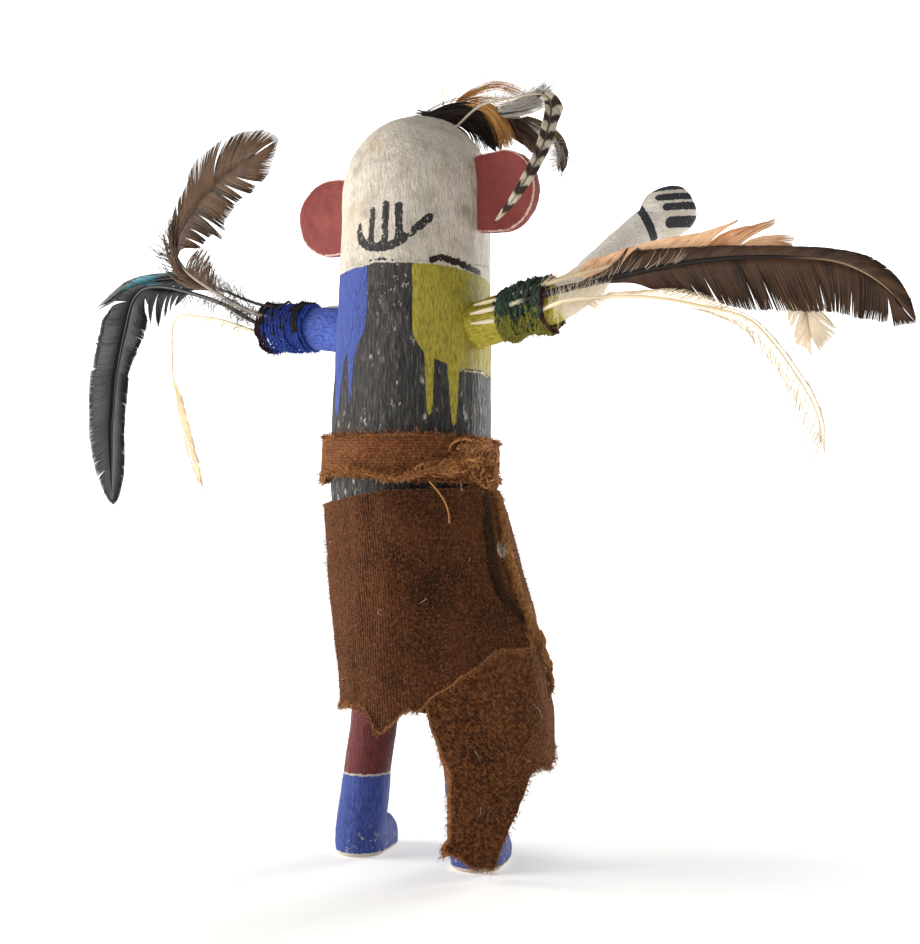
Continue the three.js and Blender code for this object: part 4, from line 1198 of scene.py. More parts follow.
# %% The stripped cream feather
cream_shaft = Shaft([
    [-29.5, 9.2, 186.4], [-44, 7.4, 187.6], [-56, 8.4, 189.6], [-66.5, 11.8, 191.4], [-79.5, 12.9, 191.8],
    [-97.5, 13.3, 190.8], [-115.5, 13.3, 187], [-130.5, 13.3, 182.4], [-138.5, 13.3, 174.8],
    [-144.5, 12.8, 166.5], [-149.5, 12.3, 158.5], [-152.5, 12.3, 151], [-153, 12.3, 144],
])
cream_feather = make_piece("stripped_cream_feather", [
    quill(cream_shaft, [(0, 0.35), (0.03, 0.75), (0.25, 0.7), (0.6, 0.42), (1, 0.1)]),
    vane(cream_shaft, 1, (0.36, 0.62), [(0.40, 1), (0.449, 1.6), (0.52, 3.6), (0.584, 4), (0.647, 2)], 9,
         pitch=0.5, gather=0.6, bunch=3, loose=0.5, width=0.15),
    vane(cream_shaft, -1, (0.56, 0.985), [
        (0.60, 0.6), (0.654, 2.4), (0.742, 4.9), (0.83, 4), (0.885, 5.5), (0.987, 6.2), (1.04, 3.5)], 10,
         pitch=0.62, gather=0.6, bunch=3.2, loose=0.7, width=0.12),
    vane(cream_shaft, 1, (0.62, 0.985), [(0.65, 0.8), (0.8, 1.2), (0.95, 1.6), (1.03, 0.9)], 11, pitch=0.8,
         gather=0.5, loose=0.6, width=0.11),
    wisps(cream_shaft, (0.22, 0.34), 260, 8, -40, 30, -20, 12, width=0.06),
    wisps(cream_shaft, (0.2, 0.36), 160, 8, 30, 30, 40, 13, width=0.06),
    wisps(cream_shaft, (0.6, 0.98), 90, 7, -60, 25, 40, 14, width=0.05),
], plume_finish("cream_colours", ("e0d2b4", "d9c49c"), "c9b087", "e6d6b6", ("dccaa6", "f0e5d0"),
                gloss=0.6))
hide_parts("feather_right_cream")

# %% [markdown]
# ### The left arm's feathers
#
# Four feathers are bound to the left arm: a worn brown one that turns up, a broad black one that hangs
# down, a narrow blue-green one above it and a stripped cream one with a sharp kink.

# %% The upturned brown feather
brown_shaft = Shaft([
    [46, 4, 191.8], [62.5, 8.9, 194.2], [86.5, 10.8, 205.8], [98.5, 11.3, 214], [103, 11.3, 221],
    [99.5, 11.3, 229], [90.5, 11.3, 238], [79, 11.3, 246], [69, 11.3, 250.5], [63, 11.3, 253],
])
brown_feather = make_piece("upturned_brown_feather", [
    quill(brown_shaft, [(0, 0.8), (0.25, 0.85), (0.5, 0.65), (0.8, 0.3), (1, 0.1)]),
    vane(brown_shaft, 1, (0.54, 0.985), [
        (0.57, 2), (0.6, 4.4), (0.66, 7.4), (0.744, 10.6), (0.807, 13.2), (0.872, 12.8), (0.94, 12),
        (1, 10), (1.06, 6.5), (1.09, 2.5), (1.1, 0.1)], 15, pitch=0.3, gaps=[(0.68, 0.9)], bunch=5,
         gather=0.03),
    vane(brown_shaft, -1, (0.53, 0.985), [
        (0.555, 3), (0.581, 6.9), (0.62, 11.8), (0.66, 12.8), (0.709, 13.5), (0.735, 18.5), (0.76, 14.5),
        (0.792, 14), (0.857, 12.8), (0.9, 12), (0.96, 12.4), (1.03, 9.5), (1.08, 3), (1.1, 0.1)], 16,
         pitch=0.3, gaps=[(0.63, 0.8), (0.68, 1), (0.745, 1.6), (0.875, 0.8), (0.925, 1.8), (0.985, 1.6)],
         bunch=5, gather=0.06),
    vane(brown_shaft, 1, (0.36, 0.47), [(0.43, 2), (0.47, 5.5), (0.53, 7.5), (0.62, 6.8), (0.66, 3.5)], 17,
         pitch=0.24, gaps=[(0.56, 2.2)], bunch=3, gather=0.5),
    vane(brown_shaft, -1, (0.33, 0.46), [(0.35, 6), (0.40, 9.5), (0.45, 11.5), (0.49, 9)], 18, pitch=0.32,
         bunch=2.6, gather=0.6, loose=0.8),
    wisps(brown_shaft, (0.3, 0.46), 150, 10, -70, 26, -90, 19, width=0.06),
    wisps(brown_shaft, (0.46, 0.62), 90, 17, 24, 9, -20, 37, width=0.16, part=3, deep=0.12),
    wisps(brown_shaft, (0.16, 0.36), 110, 8, 75, 30, 60, 20, width=0.08),
    wisps(brown_shaft, (0.14, 0.32), 60, 13, -50, 50, 160, 21, width=0.12, part=3),
    wisps(brown_shaft, (0.12, 0.26), 45, 12, 70, 50, -160, 22, width=0.12, part=3),
], plume_finish("brown_colours", ("8b8379", "3b302a"), "281d14", "60462f",
                ("6f6155", "a89887"), shaft_change=(0.42, 0.55)))
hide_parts("feather_left_brown")

# %% The hanging black feather
black_shaft = Shaft([
    [46, 4, 188.6], [62, 8.5, 190.6], [80.4, 8.2, 199.1], [100.5, 7.2, 205.3], [114.9, 6.8, 208.2],
    [124, 6.8, 207.6], [129.4, 6.8, 203.2], [133.2, 6.8, 193.2], [136.4, 6.8, 182.3], [138.6, 6.8, 172.9],
    [139.7, 6.8, 163.8], [140.9, 6.8, 153.2], [140.9, 6.8, 144.8], [140.9, 6.8, 133.3], [140.3, 6.8, 125.5],
])
black_feather = make_piece("hanging_black_feather", [
    quill(black_shaft, [(0, 0.8), (0.3, 0.8), (0.6, 0.5), (1, 0.12)]),
    vane(black_shaft, -1, (0.47, 0.985), [
        (0.50, 2.5), (0.53, 7), (0.56, 10.5), (0.607, 14.2), (0.684, 14.8), (0.762, 14.4), (0.84, 12.6),
        (0.907, 10.2), (0.95, 7.8), (0.985, 4.8), (1.006, 2), (1.012, 0.1)], 23,
         pitch=0.25, bunch=7, gather=0.015, gaps=[(0.552, 0.7)]),
    vane(black_shaft, 1, (0.46, 0.985), [
        (0.48, 1.5), (0.50, 5), (0.556, 10.4), (0.6, 11), (0.625, 10), (0.66, 7.6), (0.7, 6.4), (0.76, 6.6),
        (0.84, 7.2), (0.9, 7.4), (0.95, 6.8), (0.985, 4.6), (1.006, 2), (1.012, 0.1)], 24,
         pitch=0.25, bunch=6, gather=0.015),
    vane(black_shaft, 1, (0.34, 0.47), [(0.36, 4), (0.40, 9), (0.435, 15.5), (0.46, 13), (0.49, 8)], 25,
         pitch=0.3, gaps=[(0.415, 1.6), (0.447, 2)], bunch=3, gather=0.65),
    wisps(black_shaft, (0.25, 0.4), 70, 9, 80, 30, 50, 26, width=0.08, part=3),
], plume_finish("black_colours", ("2a2624", "2a2624"), "050505", "151316", ("3a3432", "6a625c"),
                gloss=0.3))
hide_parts("feather_left_black")

# %% The blue-green feather
teal_shaft = Shaft([
    [46, 3, 195.4], [62.5, 7, 198], [85.5, 4.8, 205.5], [100.5, 3.8, 210.2], [114.5, 3.8, 211.6],
    [131.5, 3.8, 209.8], [147.5, 3.8, 203.8],
])
teal_feather = make_piece("blue_green_feather", [
    quill(teal_shaft, [(0, 0.6), (0.5, 0.45), (1, 0.1)]),
    vane(teal_shaft, -1, (0.42, 0.985), [
        (0.48, 1), (0.561, 2.6), (0.63, 2.9), (0.70, 2.3), (0.81, 3.1), (0.897, 3.4), (0.97, 2.4), (1.05, 0.5)],
         27, pitch=0.26, bunch=3, gather=0.3),
    vane(teal_shaft, 1, (0.42, 0.985), [
        (0.48, 2), (0.55, 4.4), (0.62, 5.2), (0.749, 4.4), (0.83, 2), (0.927, 1.2), (1.05, 0.4)],
         28, pitch=0.26, bunch=3, gather=0.3, gaps=[(0.66, 1)]),
    wisps(teal_shaft, (0.25, 0.45), 60, 7, -60, 40, 40, 29, width=0.08, part=3),
], plume_finish("blue_green_colours", ("3a3030", "2a2624"), "0f2a33", "2f7684",
                ("3a3432", "6a625c"), bars=("17191b", 3.1, 0.5, 0.7), gloss=0.28))
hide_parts("feather_left_teal")

# %% The kinked cream feather
kinked_shaft = Shaft([
    [46, 3, 185], [57.5, 6.5, 186.3], [67.1, 9.5, 189], [79.8, 10, 192.9], [93.6, 10.3, 195.5],
    [101.2, 10.3, 196.3], [104.3, 10.3, 193.8], [105.3, 10.3, 188.9], [105.3, 10.3, 180.9],
    [104.8, 10.3, 172.4], [103.3, 10.3, 167], [100.2, 10.3, 156.7], [96.1, 10.3, 144.5], [91, 10.3, 132.7],
])
kinked_feather = make_piece("kinked_cream_feather", [
    quill(kinked_shaft, [(0, 0.7), (0.3, 0.65), (0.5, 0.4), (1, 0.1)]),
    vane(kinked_shaft, 1, (0.66, 0.985), [
        (0.69, 0.8), (0.74, 2.6), (0.8, 3.1), (0.9, 2.9), (0.97, 2.2), (1.04, 0.4)], 30,
         pitch=0.34, gather=0.4, loose=0.4, width=0.15),
    vane(kinked_shaft, -1, (0.72, 0.985), [(0.75, 0.4), (0.85, 0.9), (0.97, 0.9), (1.03, 0.3)],
         31, pitch=0.5, gather=0.4, loose=0.4, width=0.12),
    wisps(kinked_shaft, (0.2, 0.45), 130, 6, 62, 25, 25, 32, width=0.06),
    wisps(kinked_shaft, (0.5, 0.72), 40, 3, 40, 30, 20, 33, width=0.05),
], plume_finish("kinked_colours", ("dccdb4", "e6cfa8"), "d9b98a", "ecd6b0", ("dcc49c", "f0dfc2"),
                gloss=0.6))
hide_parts("feather_left_cream")

# %% [markdown]
# ### The tuft on the head
#
# Short feathers are set into the crown, measured from the trunk's axis at the height of their roots: a
# glossy black plume over the dome, thin tan strands that arch over it, a dark brown bunch behind, and
# one long barred feather that hangs down past the right ear.

# %% The barred feather
TUFT_Z = 258
TO_VIEWER = (-0.55, 0.82, 0.15)


def head_shaft(controls):
    return Shaft(controls, TO_VIEWER, TUFT_Z)


barred_shaft = head_shaft([
    [-9.4, -9, 258.5], [-19.5, -9.6, 265.1], [-32.5, -9.7, 266.2], [-44.2, -8.9, 265.9], [-49.1, -7.3, 262.6],
    [-51.7, -1.9, 253.1], [-52, 3.9, 243.7], [-50.5, 8.5, 235.8], [-46.5, 12.2, 227], [-41.8, 14, 220.9],
])
soft_shaft = head_shaft([
    [-10.3, -11, 258.9], [-18.3, -13, 263.4], [-26.9, -14, 263.7], [-34.8, -13.8, 264.2],
    [-41.2, -12.6, 266.2], [-47, -11.4, 269.6],
])
barred_feather = make_piece("barred_feather", [
    quill(barred_shaft, [(0, 0.45), (0.5, 0.4), (1, 0.1)]),
    vane(barred_shaft, 1, (0.38, 0.985), [
        (0.42, 2), (0.5, 4.2), (0.56, 2.8), (0.7, 2.4), (0.85, 1.9), (0.97, 1), (1.03, 0.1)], 50,
         pitch=0.24, gather=0.2, bunch=2, width=0.2),
    vane(barred_shaft, -1, (0.38, 0.985), [
        (0.42, 1.4), (0.5, 2.2), (0.6, 2.3), (0.7, 2.1), (0.85, 1.7), (0.97, 0.9), (1.03, 0.1)], 51,
         pitch=0.24, gather=0.2, bunch=2, width=0.2),
    wisps(barred_shaft, (0.1, 0.42), 90, 8, 30, 25, 20, 52, width=0.09),
    hank(soft_shaft, 240, 1.9, 53, (0.4, 1), width=0.1, part=2),
    wisps(soft_shaft, (0.55, 0.95), 90, 6, -20, 14, -14, 54, width=0.08),
    hank(soft_shaft, 50, 1.6, 55, (0.4, 1), width=0.12, part=3),
], plume_finish("barred_colours", ("b9ad98", "5d5044"), "a89c88", "d9cdb6", ("9c948c", "e6e0d6"),
                bars=("3a2f27", 12.5, 0.75, 0.55), gloss=0.6))
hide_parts("feather_head_barred")

# %% The black plume
plume_shaft = head_shaft([
    [-0.2, -6.5, 262], [-2.8, -9.2, 263.6], [-6.4, -10.9, 264.2], [-11.2, -12.4, 263.8],
    [-16.4, -13.4, 261.2], [-20.5, -13.7, 257], [-23.3, -13.3, 252.3],
])
curl_shaft = head_shaft([
    [-7.2, -9.4, 259.6], [-3.3, -8.8, 262.4], [0.3, -7.7, 264.2], [4, -6.6, 264.5],
])
plume = make_piece("black_head_plume", [
    quill(plume_shaft, [(0, 0.4), (1, 0.15)]),
    vane(plume_shaft, 1, (0.02, 0.98), [
        (0.04, 2.5), (0.2, 3.4), (0.5, 3.6), (0.8, 3.8), (1, 3.2), (1.12, 1)], 56,
         pitch=0.16, gather=0.3, bunch=2.5),
    vane(plume_shaft, -1, (0.02, 0.98), [
        (0.06, 2.5), (0.3, 3.6), (0.6, 3.4), (0.85, 3.4), (1, 2.6), (1.12, 1)], 57,
         pitch=0.16, gather=0.3, bunch=2.5),
    hank(plume_shaft, 540, 2.9, 58, (-0.02, 1.08), width=0.19),
    wisps(curl_shaft, (0, 0.75), 170, 6.5, 6, 13, 10, 59, width=0.13, part=1),
    wisps(plume_shaft, (0.6, 1), 40, 4, 20, 40, 10, 60, width=0.1),
], plume_finish("head_plume_colours", ("2a2320", "2a2320"), "120e0d", "3d3029",
                ("c9bda8", "f3ead9"), gloss=0.3))
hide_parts("feather_head_black")

# %% The tan strands
arch_shaft = head_shaft([
    [-3.9, -11.4, 262.4], [-5.5, -14.9, 267.9], [-8.9, -18.2, 272.1], [-14.1, -21.6, 275],
    [-18.6, -24.5, 275.7], [-24, -28, 273.5], [-29.6, -30.5, 269.7],
])
low_arch_shaft = head_shaft([
    [-4.2, -11.6, 263.1], [-6.5, -15.4, 267.6], [-11.6, -18.8, 270], [-19.1, -23.7, 270.5],
    [-23.6, -26.6, 269.9],
])
band_shaft = head_shaft([
    [-5.2, -11.5, 263.8], [-9.2, -12.5, 265.4], [-14.3, -13.5, 266.6], [-19.8, -13.8, 264.9],
    [-24.3, -13.1, 260.7], [-27.7, -12.5, 255.7], [-29.9, -11.5, 250.7],
])
straw_shaft = head_shaft([[-3.3, -11.0, 263.5], [-3.0, -10.8, 270.4], [-3.0, -10.8, 276.7]])
tan_strands = make_piece("tan_head_strands", [
    quill(straw_shaft, [(0, 0.3), (1, 0.16)], steps=12),
    hank(arch_shaft, 55, 1.5, 61, (0, 1.05), width=0.1),
    hank(low_arch_shaft, 45, 1.5, 63, (0, 1.1), width=0.09),
    hank(band_shaft, 220, 1.4, 64, (0.12, 1.05), width=0.14),
    wisps(band_shaft, (0.6, 0.95), 60, 6, 2, 14, -16, 65, width=0.12, part=1, deep=0.07),
], plume_finish("head_tan_colours", ("d9c29a", "d9c29a"), "b0743a", "e3b26f", ("d8b48c", "f0e2cc"),
                gloss=0.5))
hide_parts("feather_head_tan")

# %% The dark bunch
dark_shaft = head_shaft([
    [-9, -14, 260], [-15.2, -15, 264], [-20.9, -16.8, 263.4], [-26.2, -19, 260.4],
    [-32.2, -20.6, 256], [-36.6, -22.2, 250.9],
])
round_shaft = head_shaft([
    [-9.6, -17.3, 259.2], [-20.6, -21.8, 263.4], [-28.7, -25.1, 262], [-34.6, -29, 259.1],
    [-37.9, -31.1, 255.6], [-39.4, -32.1, 250.6], [-39.1, -31.9, 245.6],
])
dark_bunch = make_piece("dark_head_bunch", [
    vane(dark_shaft, 1, (0.1, 0.98), [(0.2, 1.8), (0.5, 2.4), (0.8, 2.4), (1, 1.8), (1.1, 0.8)], 66,
         pitch=0.18, gather=0.2, bunch=2.5),
    vane(dark_shaft, -1, (0.1, 0.98), [(0.2, 2.4), (0.5, 3.8), (0.8, 4.4), (1, 3.4), (1.1, 1.4)], 67,
         pitch=0.18, gather=0.3, bunch=2.5),
    vane(round_shaft, 1, (0.45, 0.985), [(0.5, 1.6), (0.7, 2), (0.9, 2.6), (1, 2.4), (1.05, 1.2)], 68,
         pitch=0.2, gather=0.1),
    vane(round_shaft, -1, (0.45, 0.985), [(0.5, 1.2), (0.7, 1.6), (0.9, 1.6), (1, 1), (1.05, 0.2)], 69,
         pitch=0.2, gather=0.1),
    wisps(round_shaft, (0.5, 1), 300, 7.5, -50, 40, -60, 70, width=0.065),
    wisps(round_shaft, (0.75, 1), 14, 9, 12, 6, -30, 71, width=0.14, part=3, deep=0.05),
    hank(dark_shaft, 260, 2, 72, (0, 1.04), width=0.15),
], plume_finish("head_dark_colours", ("3a2f28", "3a2f28"), "30251d", "7a6350", ("cfc8be", "f3eee6"),
                gloss=0.45))
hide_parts("feather_head_dark")


# %% [markdown]
# ## Yarn bindings
#
# The feathers are tied to the arms with wool yarn. A torus for each turn would look like a stack of
# rings. Real yarn is two plies twisted together, wound in one go, crossing over itself. So the winding
# is a plan, a table of how many turns have been made and how far along the arm the yarn then is, and
# `twine` twists two plies around the route that the plan gives. Short fibres stand off it as fuzz.

# %% Twist two plies
def twine(route, outward, thick, twist, tone, **values):
    """Two plies twisted round each other along a route. outward is any direction across it."""
    along = unit(np.gradient(route, axis=0))
    aside = unit(np.cross(outward, along))
    up = np.cross(along, aside)
    length = np.concatenate([[0], np.cumsum(np.linalg.norm(np.diff(route, axis=0), axis=1))])
    plies = []
    for start in (0, math.pi):
        turn = 2 * np.pi * length / twist + start
        plies.append(route + (aside * np.cos(turn)[:, None] + up * np.sin(turn)[:, None]) * thick * 0.25)
    return strands(plies, thick * 0.3, np.stack([outward, outward]), sides=4, tone=tone, **values)


# %% Wind it round an arm
def winding(path, start, plan, radius, backset, rough, seed, step=1.0):
    """The route of yarn round an arm. plan rows are (turns made, x in mm from the trunk's axis)."""
    plan = np.array(plan, float)
    count = int(plan[-1, 0] * 2 * np.pi * radius / step)
    turns = np.linspace(0, plan[-1, 0], count)
    x = np.interp(turns, *plan.T) + axis_at(SHOULDER_Z)[0]
    order = np.argsort(path[:30, 0])
    height = np.interp(x, path[order, 0], path[order, 2])
    angle = 2 * np.pi * turns + start
    outward = np.stack([np.zeros(count), np.cos(angle), np.sin(angle)], -1)
    centre = np.stack([x, np.full(count, axis_at(SHOULDER_Z)[1] + backset), height], -1)
    even = centre + outward * radius
    lumps = rough * waves(even, 7, seed) + 0.35 * rough * waves(even, 2.5, seed + 1)
    route = even + outward * lumps[:, None]
    route[:, 0] += 0.5 * rough * waves(even, 5, seed + 2)
    return route, outward


# %% Fuzz on the yarn
def fuzz(points, outward, count, length, seed, width=0.06, steps=3, **values):
    """Short curled fibres that stand off the yarn."""
    dice = np.random.default_rng(seed)
    pick = dice.integers(0, len(points), count)
    heading = unit(outward[pick] * dice.uniform(0.2, 1, (count, 1)) + dice.normal(0, 0.7, (count, 3)))
    bend = dice.normal(0, 0.5, (count, 3))
    size = length * dice.uniform(0.4, 1.4, (count, 1)) / steps
    paths = [points[pick] + outward[pick] * 0.3]
    for _ in range(steps):
        paths.append(paths[-1] + heading * size)
        heading = unit(heading + bend)
    paths = np.stack(paths, 1)
    return strands(paths, width, outward[pick][:, None].repeat(steps + 1, 1),
                   tone=dice.uniform(0, 1, (count, 1)), **values)


# %% Plans for both arms
BINDING_BACKSET = 1.5
WRAP_PLANS = {
    "left": {
        "under": [(0, 42.5), (14, 64)],
        "over": [(0, 44.5), (4, 47), (5.2, 60), (7, 62), (8.1, 47), (9.3, 45.5), (10.5, 60.5), (14.5, 64.5)],
        "radius": 8.7, "yarn": 1.1, "rough": 0.6,
    },
    "right": {
        "under": [(0, -38.5), (13, -57)],
        "over": [(0, -39.5), (5, -45), (7, -52), (8.5, -43.5), (11, -40), (14, -48), (17, -54), (21, -57.4)],
        "radius": 8.6, "yarn": 1.4, "rough": 1.1,
    },
}


# %% Dye the yarn
def yarn_finish(name, under, over, smear, smear_from, smear_spread, far, far_from):
    wool = Finish(name, Roughness=0.95, Specular_IOR_Level=0.15)
    tone, layer = wool.value("tone"), wool.value("layer")
    place, level = wool.coordinate("X"), wool.coordinate("Z")
    cloud = wool.noise(3.2, 4.0, 0.6)
    inner = wool.mix(tone, under[0], under[1])
    outer = wool.mix(wool.math("MULTIPLY", wool.math("ADD", tone, cloud), 0.5), over[0], over[1])
    colour = wool.mix(layer, inner, outer)
    low = wool.math("MULTIPLY_ADD", wool.noise(3.2, 4.0, 0.65), smear_spread, level)
    smeared = wool.mix(cloud, smear[0], smear[1])
    colour = wool.mix(wool.step(low, smear_from + 1.5, smear_from - 1.5), colour, smeared)
    edge = wool.math("MULTIPLY_ADD", wool.noise(4, 3), 4, place)
    colour = wool.mix(wool.step(edge, far_from, far_from + (0.8 if far_from > 0 else -0.8)), colour, far)
    wool.relief((wool.noise(0.35, 3.0, 0.6), 0.15))
    return wool.done(colour)


YARN_FINISHES = {
    "left": yarn_finish("black_yarn", under=("23337c", "3d55b8"), over=("131312", "3b3a30"),
                        smear=("2a3a80", "3d55a8"), smear_from=206, smear_spread=36, far="2c1d20", far_from=63),
    "right": yarn_finish("green_yarn", under=("202a24", "3a4433"), over=("24302a", "46584a"),
                         smear=("54572a", "8c8538"), smear_from=204, smear_spread=34, far="36191b",
                         far_from=-54),
}

# %% Bind both arms
for side, plan in WRAP_PLANS.items():
    path = arm_paths[side]
    under = winding(path, 0.4, plan["under"], plan["radius"] - 0.6, BINDING_BACKSET, 0.25, 41)
    over = winding(path, 1.0, plan["over"], plan["radius"] + 0.2, BINDING_BACKSET, plan["rough"], 45)
    wrap = make_piece(f"{side}_yarn_binding", [
        twine(*under, plan["yarn"] * 1.15, 4.2, 0.5, layer=0.0),
        twine(*over, plan["yarn"], 3.4, 0.5, layer=1.0),
        fuzz(*over, 800, 2.2, 47, layer=1.0),
        fuzz(*under, 250, 1.6, 48, layer=0.0),
    ], YARN_FINISHES[side])
    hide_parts(f"yarn_wrap_{side}")


# %% [markdown]
# ## The wool kilt
#
# The kilt is one strip of handspun wool, wrapped once round the hips and on to the right side again.
# Its inner end hangs down to the right foot and its outer part is cut shorter. A cloth simulation could
# drape a plain skirt, but this strip is stiff with age and keeps its own shape. So its middle surface
# is a formula: an oval that grows and gets squarer towards the hem. The strip's top, hem and ends are
# short tables of angle and height.

# %% The kilt's tables
KILT_SECTIONS = np.array([  # height, centre x and y, half across, half deep, squareness
    [131, 0, 0, 30.4, 30.4, 2], [88, -6.3, -4.7, 34.6, 31, 2.2], [55, -8.4, -10, 36.6, 30, 2.5]])
FLARE_TURN = 33
KILT_HEM = np.array([
    [26, 8.4], [31, 7.4], [34, 5.0], [41, 3.9], [47, 3.6], [49, 6.2], [51, 10], [54, 14.2], [56, 17.8],
    [60, 20.3], [62.5, 23.9], [68.5, 30.3], [73, 34.1], [80, 35.7], [95, 34.6], [107, 36.3], [118, 39],
    [213, 46], [303, 54.5], [339, 57.6], [354.5, 57.3], [358, 55], [360, 52.3], [362.5, 50.1], [367.5, 49.3],
    [369.5, 51.4], [375.5, 54.2], [378, 56.3], [381.5, 57.4], [386, 57], [388.5, 59.5], [395, 64.9],
    [404, 70.2], [410.5, 72.4], [415, 74.7], [421, 77.2], [428, 77.6], [437.5, 76.9], [443, 78.1]])
KILT_TOP = np.array([
    [26, 128], [58, 129.5], [72, 131.6], [98, 131.6], [116, 128.5], [150, 126.5], [213, 126], [303, 124.2],
    [310, 124.8], [350, 127.1], [374, 129.6], [386, 130.6], [443, 131.4]])
INNER_END = np.array([[7, 32], [11.6, 31.5], [14, 33], [30.6, 33], [36.9, 33], [39.6, 31.5], [45.6, 30],
                      [50.9, 27.5], [56.9, 26], [130, 26]])  # height, angle
OUTER_END = np.array([[76, 441.5], [79.8, 441.5], [84.2, 439], [90.2, 432], [95.6, 426.5], [104.9, 425.5],
                      [117.2, 429.5], [129.1, 436.5], [132, 437.5]])
KILT_START, KILT_END, KILT_TOP_Z = 26, 443, 131
KILT_THICK = 1.1
print("the kilt turns through", KILT_END - KILT_START, "degrees")


# %% Its middle surface
def kilt_point(angle, z, out):
    """Angle round the trunk, height, and how far out of the strip's middle surface."""
    centre_x, centre_y, across, deep, square = (
        np.interp(-z, -KILT_SECTIONS[:, 0], KILT_SECTIONS[:, k]) for k in range(1, 6))
    turn, view = np.radians(angle - FLARE_TURN), math.radians(FLARE_TURN)
    lap = np.clip((angle - 290) / 90, 0, 1)
    lap = lap * lap * (3 - 2 * lap)
    stand = out + lap * (1.9 + 1.5 * np.clip((KILT_TOP_Z - z) / 60, 0, 1))
    back = np.sign(np.cos(turn)) * np.abs(np.cos(turn)) ** (2 / square) * (deep + stand)
    aside = np.sign(np.sin(turn)) * np.abs(np.sin(turn)) ** (2 / square) * (across + stand)
    return np.stack([centre_x - back * math.sin(view) - aside * math.cos(view),
                     centre_y + back * math.cos(view) - aside * math.sin(view), z + 0 * angle], -1)


# %% A closed sheet
def strip_sheet(point_at, thick, columns, rows, **values):
    """A closed sheet: point_at(out) gives its (columns, rows) points, out mm off its middle."""
    faces = np.stack([point_at(thick / 2), point_at(-thick / 2)])
    index = np.arange(2 * columns * rows).reshape(2, columns, rows)

    def cells(grid):
        return np.stack([grid[:-1, :-1], grid[:-1, 1:], grid[1:, 1:], grid[1:, :-1]], -1).reshape(-1, 4)

    rim = np.concatenate([index[:, :, 0].T, index[:, -1, 1:].T, index[:, ::-1, -1][:, 1:].T,
                          index[:, 0, ::-1][:, 1:].T])
    walls = np.stack([rim[:-1, 0], rim[1:, 0], rim[1:, 1], rim[:-1, 1]], -1)
    quads = np.concatenate([cells(index[0]), cells(index[1])[:, ::-1], walls])
    spread = {key: np.broadcast_to(v, (2, columns, rows)).ravel() for key, v in values.items()}
    return faces.reshape(-1, 3), quads, np.zeros((0, 3), int), spread


# %% Lay the strip out
KILT_COLUMNS, KILT_ROWS = 260, 78
HIP_R = 33
across_share = np.linspace(0, 1, KILT_COLUMNS)[:, None]
down_share = np.linspace(0, 1, KILT_ROWS)[None, :]
plain_angle = KILT_START + (KILT_END - KILT_START) * across_share
top = np.interp(plain_angle, *KILT_TOP.T)
hem = np.interp(plain_angle, *KILT_HEM.T)
dice = np.random.default_rng(80)
hem = hem + 0.35 * np.interp(plain_angle, np.arange(20, 450, 1.6), dice.normal(0, 1, 269))
kilt_z = top + (hem - top) * down_share
from_end, to_end = np.interp(kilt_z, *INNER_END.T), np.interp(kilt_z, *OUTER_END.T)
kilt_angle = from_end + (to_end - from_end) * across_share
mm_per_degree = HIP_R * math.pi / 180
weft, warp = (kilt_angle - KILT_START) * mm_per_degree, KILT_TOP_Z - kilt_z
on_cloth = np.stack([weft, warp, 0 * weft], -1).reshape(-1, 3)

# %% Folds, curled edges and the sheet
folds = (0.55 * waves(on_cloth * [1, 0.45, 1], 22, 81, 2) + 0.22 * waves(on_cloth * [1, 0.3, 1], 8, 82, 2)
         + 0.10 * waves(on_cloth, 3, 83)).reshape(weft.shape)
edge_curl = 1.7 * np.exp(-(to_end - kilt_angle) / 4) + 0.6 * np.exp(-(kilt_z - hem) / 3) * (kilt_angle > 330)
lift_off = folds + edge_curl
from_rim = np.minimum.reduce([(kilt_z - hem), (top - kilt_z) + 0.6, (kilt_angle - from_end) * mm_per_degree,
                              (to_end - kilt_angle) * mm_per_degree + 2.2 * np.clip((kilt_z - 82) / 4, 0, 1)])
from_lap = np.where(kilt_angle < 200, (kilt_angle + 360 - np.interp(kilt_z, *OUTER_END.T)) * mm_per_degree, 99)
# Distance to a strip of painted shade on the layer under the outer part's edge, 4.2 mm out from that edge,
# above 80 mm.
from_shade = np.abs(from_lap - 4.2) + 99 * (kilt_z < 80)


def kilt_layer(out):
    """The whole strip's points, `out` mm off its folded middle surface."""
    return kilt_point(kilt_angle, kilt_z, out + lift_off)


# The lap value carries the distance to that strip of painted shade.
kilt_sheet = strip_sheet(kilt_layer, KILT_THICK, KILT_COLUMNS, KILT_ROWS, weft=weft, warp=warp, rim=from_rim,
                         lap=from_shade)
print("the kilt hangs from", kilt_z.max().round(1), "down to", kilt_z.min().round(1), "mm")

# %% [markdown]
# ### Brown wool
#
# The cloth is a twill with a worn nap. The twill is bump, laid out in the cloth's own measures, so it
# follows the strip and not the room. The nap and the frayed cut edges are real fibres, because they
# break the outline: that is what makes wool look soft.

# %% Weave and full the wool
FLAP_EDGE = (70, 40)  # mm along the strip: beyond the first it is plain ribbed, before the second slanted


